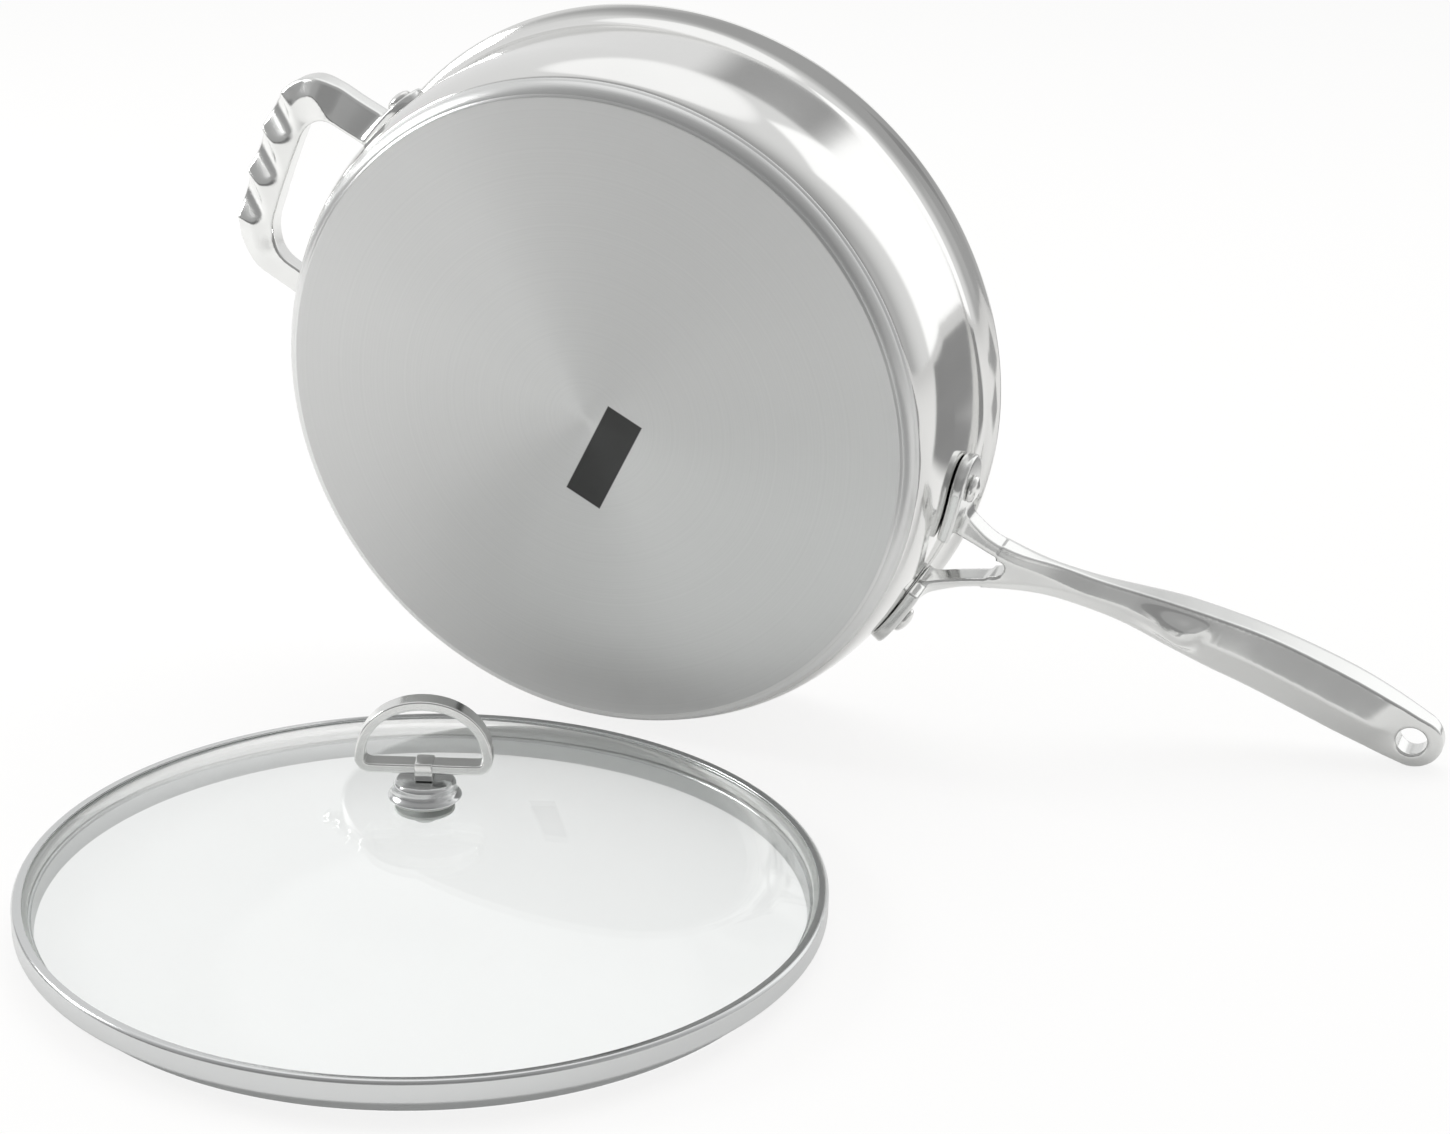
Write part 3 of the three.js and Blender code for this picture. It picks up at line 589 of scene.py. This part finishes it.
# Distance from the pan axis, underside edges, top, half width, keel depth, half width of the
# keel's flat, finger guard depth.
GRIP = [
    [158, 56, 66.6, 12, 1.3, 8.2, 0],
    [170, 63, 73.2, 9.2, 1.6, 5.2, 0],
    [186, 73.8, 80.6, 7.6, 2.1, 2.2, 0],
    [204, 81.6, 90, 7.1, 2.3, 0.4, 0],
    [220, 87.8, 98.5, 8, 2.3, 0, 0],
    [231, 90.9, 103.4, 9.2, 2.5, 0, 1.8],
    [239, 92.8, 106.3, 10.1, 2.6, 0, 5],
    [243, 93.8, 107.3, 10.5, 2.6, 0, 5.8],
    [247, 94.8, 108.3, 10.9, 2.6, 0, 4.2],
    [252, 96, 109.6, 11.3, 2.8, 0, 0.6],
    [257, 97.2, 110.8, 11.7, 3, 0, 0],
    [274, 101.4, 115, 12.5, 3.5, 0, 0],
    [298, 104.6, 119.2, 12.9, 3.8, 0, 0],
    [318, 106.2, 120.9, 12.8, 3.9, 0, 0],
    [328, 106.9, 120.9, 12.4, 3.4, 0, 0],
    [337, 107.4, 120.3, 12, 0.2, 0, 0],
    [346, 108, 119.5, 11.4, 0, 0, 0],
    [358, 110, 118, 11, 0, 0, 0],
]
# Distance from the pan axis, offset from the middle plane, underside, half width, depth.
PRONG = [
    [143.6, 18, 45.5, 4.6, 13],
    [148, 15, 48.3, 3.6, 12.4],
    [152, 12.8, 51, 3, 12.1],
    [156, 10.8, 53.5, 2.55, 11.9],
    [160, 9.15, 55.8, 2.4, 11.8],
    [164, 7.8, 58.2, 2.4, 11.7],
    [168, 6.6, 60.7, 2.5, 11.4],
    [172, 5.5, 63.6, 2.6, 10.4],
    [184, 3.2, 73.5, 2.6, 6],
]


def foot(x, y, z, thickness, near, far, low, high):
    """Distance to a plate bent round the wall on both sides of the X axis.

    It lies between two heights and, along the arc, between near and far, with round far ends.
    """
    radius = np.hypot(x, y)
    arc = np.abs(np.arctan2(y, x)) * (WALL + 2.5)
    half, centre = (high - low) / 2, (high + low) / 2
    beyond = np.maximum(arc - (far - half), 0)
    outline = np.maximum(np.hypot(beyond, z - centre) - half, near - arc)
    sheet = np.abs(radius - (WALL + FIT + thickness / 2)) - thickness / 2
    return cut_by(outline, sheet, 1.6)


GRIP_START, PRONG_START, PRONG_END = 164, 142, 183
TIP_START, TIP_LENGTH = 346.85, 10.9
CROWN, BORDER = 0.9, 1.2  # rise of the grip's top, margin beside the keel
HANG_HOLE, HANG_RADIUS, CROTCH_RADIUS = 345, 6.2, 4.0


def long_handle(x, y, z):
    """Distance to the cast handle: keeled neck and grip, two prongs and two feet.

    The grip is what lies inside its sides, its crowned top and its underside. The underside sinks
    in a straight line from the edges to the keel in the middle, swells to a finger guard where the
    neck ends, and runs out to the flat round the hang hole. The prongs swing out to plates bent
    round the wall, and all joints are filled as in a casting. Factors just below 1 bring slanted
    faces back to true distances.
    """
    low, high, half, keel, level, guard = through(GRIP, x)
    off = np.abs(y)
    past = np.maximum(x - TIP_START, 0)
    side = np.hypot(off, past * half / TIP_LENGTH) - half
    crown = high + CROWN * (1 - np.minimum(off / half, 1) ** 2)
    flat = half - BORDER
    inward = np.clip(1 - np.sqrt(off**2 + 0.3) / flat, 0, 1)
    under = low - keel * np.minimum(inward / (1 - np.maximum(level, 0) / flat), 1)
    under = under - np.maximum(guard, 0) * smooth(inward, 0.1, 0.7)
    body = cut_by(cut_by(side, (z - crown) * 0.93, 3.4), (under - z) * 0.85, 1.3)
    body = np.maximum(body, GRIP_START - x)
    offset, prong_low, prong_half, depth = through(PRONG, x)
    out = off - offset
    prong_under = prong_low + 0.5 * np.maximum(out + prong_half - 1.8, 0)
    slab = cut_by((np.abs(out) - prong_half) * 0.82, (z - prong_low - depth) * 0.88, 1.2)
    slab = cut_by(slab, (prong_under - z) * 0.8, 0.9)
    slab = np.maximum(np.maximum(slab, x - PRONG_END), PRONG_START - x)
    whole = blend_in(body, slab, 1.2)
    whole = blend_in(whole, foot(x, y, z, **LONG_FOOT), 2.6)
    crotch = 165.6 - 3 * (z - 50) / 34
    whole = cut_by(whole, CROTCH_RADIUS - np.hypot(x - crotch, y), 1.2)
    whole = cut_by(whole, HANG_RADIUS - np.hypot(x - HANG_HOLE, y), 1.4)
    return np.maximum(whole, WALL + FIT - np.hypot(x, y))


cell = 0.7
points, faces = skin(long_handle, (130, -50, 29), (360, 50, 124), cell)
piece("cast_long_handle", points, faces, "pan", "long_handle", [CAST])

# Pan: helper handle

# Corner points of the loop's middle line, from the upper foot to the middle of the bar.
LOOP = np.array([
    [-130, -43, 47.5], [-152, -42.8, 49.3], [-163, -42.6, 51], [-172, -40.6, 52.5],
    [-177.4, -35.4, 53.5], [-179.8, -27, 54], [-180.8, -14, 54.2], [-181, 0, 54.3],
])
LOOP = np.concatenate([LOOP, LOOP[-2::-1] * [1, -1, 1]])
chord = np.concatenate([[0], np.cumsum(np.linalg.norm(np.diff(LOOP, axis=0), axis=1))])
# The line in plan, at even steps of the way along it
LOOP_LINE = through(np.column_stack([chord, LOOP[:, :2]]), np.linspace(0, chord[-1], 220)).T
LOOP_WAY = np.gradient(LOOP_LINE, axis=0)
LOOP_WAY /= np.linalg.norm(LOOP_WAY, axis=1)[:, None]
# Height of the middle line above the base: on the legs, by place along X, and on the bar.
LEG_HEIGHT = [(-177, 53.4), (-163, 51.0), (-152, 49.3), (-130, 47.5)]
BAR_HEIGHT = 54.2
LEG_WIDE, BAR_WIDE, LEG_TALL, BAR_TALL = 4.6, 7.8, 6.4, 8.2  # half widths and half heights
SLANT = 3.6  # how much farther in the inner side stands at its foot
CORNER_X, CORNER_Y, CORNER_RADIUS = -155.6, 20.4, 18.0  # rounding inside the loop
FADE = 0.014  # how fast the rounding runs out to the straight sides
SCALLOPS, SCALLOP_X, SCALLOP_Z, SCALLOP_RADIUS = (-20, 1, 22), -181, 34.9, 13.4
SCALLOP_WAY = np.array([-1.0, -0.28, 0.555])
SCALLOP_WAY /= np.linalg.norm(SCALLOP_WAY)


def beside_loop(x, y):
    """Distance in plan from the loop's middle line, positive outside the loop.

    It is the part of the way to the nearest point of the line that lies square to the line.
    """
    gap_x, gap_y = x[..., None] - LOOP_LINE[:, 0], y[..., None] - LOOP_LINE[:, 1]
    near = np.argmin(gap_x**2 + gap_y**2, axis=-1)
    gap_x = np.take_along_axis(gap_x, near[..., None], -1)[..., 0]
    gap_y = np.take_along_axis(gap_y, near[..., None], -1)[..., 0]
    way = LOOP_WAY[near]
    return gap_y * way[..., 0] - gap_x * way[..., 1]


def helper_handle(x, y, z):
    """Distance to the cast loop: a bar along the loop's middle line, between two feet.

    In plan it is a band along the line, with webs that round out the corners inside the loop. The
    bar is wider and taller than the legs, and the inner side slants. The underside is flat on its
    inner part and rises toward the outer edge, steeply on the legs. Three round scallops for the
    fingers are cut into the lower outer edge, and plates bent round the wall carry the rivets.
    """
    x, y, z = np.broadcast_arrays(x, y, z)
    if x.ndim == 3:  # on a grid once for each column, because the height plays no part
        out = beside_loop(x[:, :, 0], y[:, :, 0])[:, :, None]
    else:
        out = beside_loop(x, y)
    off = np.abs(y)
    bar = smooth(off, 46, 16)
    wide = LEG_WIDE + (BAR_WIDE - LEG_WIDE) * bar
    tall = LEG_TALL + (BAR_TALL - LEG_TALL) * bar
    leg_height = through(LEG_HEIGHT, x)[0]
    on_bar = smooth(off, 40, 26) * smooth(x, -156, -174)
    above = z - leg_height - (BAR_HEIGHT - leg_height) * on_bar
    slant = SLANT * np.clip((tall - above) / (2 * tall), 0, 1)
    band = np.maximum(out - wide, (-out - wide - slant) * 0.97)
    from_x, from_y = np.minimum(x - slant - CORNER_X, 0), np.maximum(off + slant - CORNER_Y, 0)
    inside = CORNER_RADIUS - np.hypot(from_x, from_y)
    inside = inside + FADE * (np.maximum(25 - off, 0) ** 2 + np.maximum(x + 160, 0) ** 2)
    hidden = np.maximum((off - x - 213.5) * np.sqrt(0.5), np.maximum(off - 40, -178.6 - x))
    web = np.maximum(np.maximum(inside, hidden), np.maximum(x + 148, 12 - off))
    sides = cut_by(blend_in(band, web, 1.8), above - tall, 2.4)
    tilt = 0.04 + 0.3 * smooth(off, 26, 35)
    rising = np.maximum(out + 2.0 + 5.5 * smooth(x, -172, -158), 0)
    loop = cut_by(sides, (tilt * rising - tall - above) * 0.94, 1.4)
    whole = blend_in(loop, foot(-x, y, z, **HELPER_FOOT), 3.0)
    for across in SCALLOPS:
        dx, dy, dz = x - SCALLOP_X, y - across, z - SCALLOP_Z
        along = dx * SCALLOP_WAY[0] + dy * SCALLOP_WAY[1] + dz * SCALLOP_WAY[2]
        away = np.sqrt(np.maximum(dx**2 + dy**2 + dz**2 - along**2, 1e-9))
        whole = cut_by(whole, SCALLOP_RADIUS - away, 1.3)
    return np.maximum(whole, WALL + FIT - np.hypot(x, y))


cell = 0.6
points, faces = skin(helper_handle, (-193.3, -68.2, 35.8), (-122, 68, 66), cell)
piece("cast_helper_handle", points, faces, "pan", "helper_handle", [CAST])

# Lid: glass, rim and gasket

GLASS_RADIUS, APEX, EDGE_TOP, THICK, HOLE = 141.6, 43.6, 13.5, 4.0, 4.0
rise = APEX - EDGE_TOP
ball = (GLASS_RADIUS**2 + rise**2) / (2 * rise)
r = np.linspace(HOLE + 0.4, GLASS_RADIUS - 0.8, 60)
dome = np.stack([r, APEX - ball + np.sqrt(ball**2 - r**2)], axis=1)
below = dome - (0, THICK)
glass_edge = eased([
    below[-1], (GLASS_RADIUS, below[-1, 1] + 0.2), (GLASS_RADIUS, dome[-1, 1] - 0.2), dome[-1],
], 1.0, 5)
hole_edge = eased([
    dome[0], (HOLE, dome[0, 1] - 0.2), (HOLE, below[0, 1] + 0.2), below[0],
], 0.3, 4)
glass = np.concatenate([below[1:-1], glass_edge, dome[-2:0:-1], hole_edge])
points, faces, _ = lathe(glass, 256)
piece("domed_glass", points, faces, "lid", "lid_glass", [GLASS])

rim = [
    (136.6, 0), (137, 0.4), (137.5, 5.5), (138.2, 6.3), (143.5, 6.3), (144.2, 7.1), (144.2, 13.9),
    (143.4, 14.8), (142.4, 14.9), (140.6, 14.7), (140.5, 14.1), (142.8, 14.1), (143.4, 13.6),
    (143.4, 7.1), (137.2, 7.1), (136.6, 6.5), (136.2, 0.4),
]
points, faces, corners = lathe(eased(rim, 0.5, 4, closed=True), 288)
piece("rolled_rim", points, faces, "lid", "lid_rim", [BAND], corners)

gasket = [(138, 7.4), (143.1, 7.4), (143.1, 13.5), (141.9, 13.5), (141.9, 9.2), (138, 9.2)]
points, faces, _ = lathe(eased(gasket, 0.3, 4, closed=True), 192)
piece("gasket_ring", points, faces, "lid", "lid_gasket", [SILICONE])

# Lid: knob


def knob_line(inset, count):
    """Middle line of the D, that far inside its outline.

    Cubic curves lead from the flat foot round the waist to the crown, and their mirror images back.
    """
    half, top, bottom, waist, corner = 24.2 - inset, 82.5 - inset, 55 + inset, 60.0, 6 - inset
    t = np.linspace(0, 1, count)[:, None]

    def cubic(a, b, c, d):
        a, b, c, d = map(np.array, (a, b, c, d))
        return (1 - t) ** 3 * a + 3 * t * (1 - t) ** 2 * b + 3 * t**2 * (1 - t) * c + t**3 * d

    turn = cubic((half - corner, bottom), (half - 1, bottom), (half, bottom + 2), (half, waist))
    crown = cubic((half, waist), (half, top - 8), (half * 0.55, top), (0.0, top))
    right = np.concatenate([turn[:-1], crown])
    left = (right * [-1, 1])[::-1][1:]
    base = np.linspace(left[-1], right[0], 12)[1:-1]
    return np.concatenate([right, left, base])


THIN, BROAD = 1.7, 4  # half thickness and half breadth of the band
line = knob_line(THIN, 40)
way = np.roll(line, -1, axis=0) - np.roll(line, 1, axis=0)
way /= np.linalg.norm(way, axis=1)[:, None]
outward = np.stack([way[:, 1], -way[:, 0]], axis=1)
section = [(THIN, -BROAD), (THIN, BROAD), (-THIN, BROAD), (-THIN, -BROAD)]
section = eased(section, 0.7, 5, closed=True)[::-1]
loop = np.zeros((len(line), len(section), 3))
loop[:, :, 0] = line[:, None, 0] + outward[:, None, 0] * section[None, :, 0]
loop[:, :, 1] = -section[None, :, 1]
loop[:, :, 2] = line[:, None, 1] + outward[:, None, 1] * section[None, :, 0]
points, faces = carried(loop)
post_section = [(-3.2, -4.5), (3.2, -4.5), (3.2, 4.5), (-3.2, 4.5)]
post_section = eased(post_section, 0.8, 5, closed=True)
# Share of the post's section, height
levels = np.array([
    [0.94, 52.5], [0.985, 52.6], [1.0, 52.8], [1.0, 58.6], [0.97, 58.9], [0.92, 59.0],
])
post = np.zeros((len(levels), len(post_section), 3))
post[:, :, :2] = post_section[None] * levels[:, None, :1]
post[:, :, 2] = levels[:, 1:]
post_points, post_faces = carried(post, ring=False, first=len(points))
points, faces = np.concatenate([points, post_points]), faces + post_faces
piece("loop_knob", points, faces, "lid", "knob_loop", [CAST])

BORE = 2.8  # radius of the hole for the screw
ferrule = [
    (BORE, 45), (12.6, 45), (13.1, 45.6), (12.6, 46.4), (11.6, 47.4), (11.2, 48.8), (11, 50.6),
    (10.2, 51.6), (7, 52.1), (BORE, 52.2),
]
points, faces, corners = lathe(eased(ferrule, 0.5, 5, closed=True), 96)
piece("turned_ferrule", points, faces, "lid", "knob_ferrule", [BAND], corners)


def washer(name, outer, low, high, material):
    """Flat ring round the screw with eased edges."""
    outline = eased([(BORE, low), (outer, low), (outer, high), (BORE, high)], 0.2, 4, closed=True)
    points, faces, corners = lathe(outline, 64)
    piece(name + "_ring", points, faces, "lid", name, [material], corners)


washer("knob_upper_washer", 11.6, 43.9, 44.7, SILICONE)
washer("knob_lower_washer", 10.5, 38.0, 39.1, SILICONE)
washer("knob_steel_washer", 8.0, 36.7, 37.7, BAND)
screw = [
    (0, 33.8), (3.6, 34.0), (4.8, 35.0), (5, 36.4), (2.4, 36.4), (2.4, 56.6), (1.9, 57), (0, 57),
]
points, faces, corners = lathe(eased(screw, 0.4, 4), 48)
piece("round_screw", points, faces, "lid", "knob_screw", [BAND], corners)


# Studio


def stage_sheet(name, corners, material):
    """A flat sheet of the studio between four corners."""
    mesh = bpy.data.meshes.new(name)
    mesh.from_pydata(corners, [], [(0, 1, 2, 3)])
    layer = mesh.uv_layers.new(name="sheet")
    layer.data.foreach_set("uv", [0.0, 0.0, 1.0, 0.0, 1.0, 1.0, 0.0, 1.0])
    mesh.materials.append(material)
    thing = bpy.data.objects.new(name, mesh)
    bpy.context.scene.collection.objects.link(thing)
    return thing


def floor_material():
    """White table: matt, and lifted toward white for the eye and for what mirrors it."""
    material, tree, shader = new_material("white table")
    vector = wire(tree, "ShaderNodeTexCoord").outputs["Object"]
    cloud = wire(tree, "ShaderNodeTexNoise", Vector=vector, Scale=2.0, Detail=1.0)
    shade = maths(tree, "MULTIPLY_ADD", cloud.outputs["Fac"], 0.01, 0.995)
    shaded(tree, shader, (0.93, 0.926, 0.918), shade)
    shader.inputs["Roughness"].default_value = 0.8
    shader.inputs["Specular IOR Level"].default_value = 0.2
    for_eye, for_mirror = 0.84, 0.2
    path = wire(tree, "ShaderNodeLightPath").outputs
    seen = maths(tree, "MAXIMUM", path["Is Camera Ray"], path["Is Transmission Ray"])
    lift = maths(tree, "MULTIPLY", seen, for_eye)
    lift = maths(tree, "MULTIPLY_ADD", path["Is Glossy Ray"], for_mirror, lift)
    lift = maths(tree, "MINIMUM", lift, for_eye)
    white = wire(tree, "ShaderNodeEmission", Color=(1.0, 0.998, 0.995, 1.0), Strength=1.0)
    mix = wire(tree, "ShaderNodeMixShader", i0=lift,
               i1=shader.outputs["BSDF"], i2=white.outputs["Emission"])
    tree.links.new(mix.outputs["Shader"], tree.nodes["Material Output"].inputs["Surface"])
    return material


TABLE_TOP, CARD_GAP = -0.0002, 0.0004
table_corners = [(-9, -6, TABLE_TOP), (9, -6, TABLE_TOP), (9, 12, TABLE_TOP), (-9, 12, TABLE_TOP)]
stage_sheet("table", table_corners, floor_material())


def soft_lamp(name, place, target, size, power):
    """A large soft lamp of the given size, aimed at a point."""
    light = bpy.data.lights.new(name, "AREA")
    light.shape = "RECTANGLE"
    light.size, light.size_y = size
    light.energy = power
    lamp = bpy.data.objects.new(name, light)
    bpy.context.scene.collection.objects.link(lamp)
    lamp.location = place
    lamp.rotation_euler = (Vector(target) - Vector(place)).to_track_quat("-Z", "Y").to_euler()
    return lamp


overhead = soft_lamp("overhead", (0.3, 0.75, 1.9), (0, 0.1, 0), (2.0, 1.4), 14)
overhead.visible_glossy = overhead.visible_transmission = False
soft_lamp("left", (-1.76, 0.44, 0.94), (-0.08, 0.1, 0.12), (0.7, 0.6), 14)


def between(tree, value, low, high, soft):
    """1 where a value lies between two limits, with soft edges, else 0."""
    rise = wire(tree, "ShaderNodeMapRange", {"interpolation_type": "SMOOTHSTEP"}, Value=value,
                From_Min=low - soft, From_Max=low + soft)
    fall = wire(tree, "ShaderNodeMapRange", {"interpolation_type": "SMOOTHSTEP"}, Value=value,
                From_Min=high + soft, From_Max=high - soft)
    return maths(tree, "MULTIPLY", rise.outputs["Result"], fall.outputs["Result"])


def studio_world():
    """White room that falls off to grey behind the camera, with a bright and a dim panel.

    The eye itself sees plain white; the room and its panels are there for mirrors and for light.
    """
    world = bpy.data.worlds.new("studio")
    bpy.context.scene.world = world
    world.use_nodes = True
    tree = world.node_tree
    way = wire(tree, "ShaderNodeTexCoord").outputs["Generated"]
    apart = wire(tree, "ShaderNodeSeparateXYZ", Vector=way)
    turn = maths(tree, "ARCTAN2", apart.outputs["X"], apart.outputs["Y"])
    height = maths(tree, "ARCSINE", apart.outputs["Z"])
    behind = wire(tree, "ShaderNodeMapRange", {"interpolation_type": "SMOOTHSTEP"},
                  Value=apart.outputs["Y"], From_Min=-0.35, From_Max=0.35, To_Min=0.42, To_Max=0.85)
    leaning = maths(tree, "MULTIPLY_ADD", apart.outputs["Y"], 0.6, apart.outputs["Z"])
    above = wire(tree, "ShaderNodeMapRange", {"interpolation_type": "SMOOTHSTEP"},
                 Value=leaning, From_Min=1.0, From_Max=1.1, To_Min=0.0, To_Max=1.15)
    level = maths(tree, "MAXIMUM", behind.outputs["Result"], above.outputs["Result"])
    # turn from, turn to, height from, height to, softness, level
    panels = [
        (36, 66, -4, 46, 1.5, 1.3),
        (100, 128, 0, 34, 6, 0.52),
    ]
    for low, high, bottom, top, soft, strength in np.asarray(panels, float):
        edges = np.radians([low, high, bottom, top, soft])
        mask = maths(tree, "MULTIPLY", between(tree, turn, edges[0], edges[1], edges[4]),
                     between(tree, height, edges[2], edges[3], edges[4]))
        rest = maths(tree, "MULTIPLY", level, maths(tree, "SUBTRACT", 1.0, mask))
        level = maths(tree, "MULTIPLY_ADD", mask, float(strength), rest)
    seen = wire(tree, "ShaderNodeLightPath").outputs["Is Camera Ray"]
    level = maths(tree, "MULTIPLY_ADD", level, maths(tree, "SUBTRACT", 1.0, seen), seen)
    tree.nodes["Background"].inputs["Color"].default_value = (1.0, 1.0, 1.0, 1.0)
    tree.links.new(level, tree.nodes["Background"].inputs["Strength"])


def painted_reflection_card(name, corners, level, soft):
    """A dim glowing card that only mirrors see: painted shade in reflections, fading out over the
    given shares of its two lengths.
    """
    material, tree, shader = new_material(name)
    tree.nodes.remove(shader)
    vector = wire(tree, "ShaderNodeTexCoord").outputs["Object"]
    cloud = wire(tree, "ShaderNodeTexNoise", Vector=vector, Scale=3.0, Detail=1.0)
    strength = maths(tree, "MULTIPLY_ADD", cloud.outputs["Fac"], level * 0.2, level * 0.9)
    glow = wire(tree, "ShaderNodeEmission", Color=(1.0, 1.0, 1.0, 1.0), Strength=strength)
    sheet = wire(tree, "ShaderNodeUVMap", {"uv_map": "sheet"})
    apart = wire(tree, "ShaderNodeSeparateXYZ", Vector=sheet.outputs["UV"])
    side, end = np.asarray(soft) / 2
    across = between(tree, apart.outputs["X"], side, 1 - side, side)
    upward = between(tree, apart.outputs["Y"], end, 1 - end, end)
    clear = wire(tree, "ShaderNodeBsdfTransparent", Color=(1.0, 1.0, 1.0, 1.0))
    mix = wire(tree, "ShaderNodeMixShader", i0=maths(tree, "MULTIPLY", across, upward),
               i1=clear.outputs["BSDF"], i2=glow.outputs["Emission"])
    tree.links.new(mix.outputs["Shader"], tree.nodes["Material Output"].inputs["Surface"])
    card = stage_sheet(name, corners, material)
    card.visible_camera = card.visible_diffuse = False
    card.visible_shadow = card.visible_transmission = False


def upright(left, right, low, high):
    """Corners of a standing card between two places on the table."""
    return [(*left, low), (*right, low), (*right, high), (*left, high)]


def lying(*places):
    """Corners of a card that lies on the table."""
    return [(x, y, CARD_GAP) for x, y in places]


# Cards that glow dimly for mirrors only: painted dark reflections that stand for the dark studio
# beyond the table and for the dimmer table round the pan.
painted_reflection_card("front_card", upright((-1.6, -1.15), (0.8, -1.15), 0.0, 1.2), 0.3, (0.06, 0.05))
painted_reflection_card("back_card", upright((0.04, 0.8), (0.56, 0.8), 0.50, 0.86), 0.38, (0.25, 0.3))
painted_reflection_card("left_card", upright((-1.0, -0.05), (-1.0, 0.65), 0.04, 0.46), 0.34, (0.15, 0.2))
painted_reflection_card("left_front_card", upright((-1.1, -0.85), (-1.5, -0.15), 0.0, 0.34), 0.14, (0.2, 0.2))
painted_reflection_card("table_front", lying((0.0, -1.15), (0.75, -1.15), (0.75, -0.22), (0.0, -0.22)),
     0.4, (0.08, 0.05))
painted_reflection_card("table_right", lying((0.04, -0.26), (0.36, -0.26), (0.36, -0.05), (0.04, -0.05)),
     0.42, (0.1, 0.14))
painted_reflection_card("table_back", lying((0.14, 0.38), (0.38, 0.14), (3.0, 1.5), (1.5, 3.0)), 0.3, (0.12, 0.03))
studio_world()

# Camera

PITCH, TILT = 0.353864, 0.0301567  # how far the camera looks down, and its turn about its line
EYE_PLACE, LENS = (-0.024615, -0.961337, 0.465219), 69.165
forward = np.array([0, np.cos(PITCH), -np.sin(PITCH)])
side, rise_way = np.array([1.0, 0, 0]), np.array([0, np.sin(PITCH), np.cos(PITCH)])
right = np.cos(TILT) * side + np.sin(TILT) * rise_way
upward = -np.sin(TILT) * side + np.cos(TILT) * rise_way
eye = bpy.data.cameras.new("camera")
eye.lens, eye.sensor_width, eye.sensor_fit = LENS, 36.0, "HORIZONTAL"
eye.clip_end = 60
camera = bpy.data.objects.new("camera", eye)
bpy.context.scene.collection.objects.link(camera)
view = np.eye(4)
view[:3, 0], view[:3, 1], view[:3, 2] = right, upward, -forward
view[:3, 3] = EYE_PLACE
camera.matrix_world = Matrix(view.tolist())
bpy.context.scene.camera = camera
bpy.context.scene.view_settings.view_transform = "Standard"
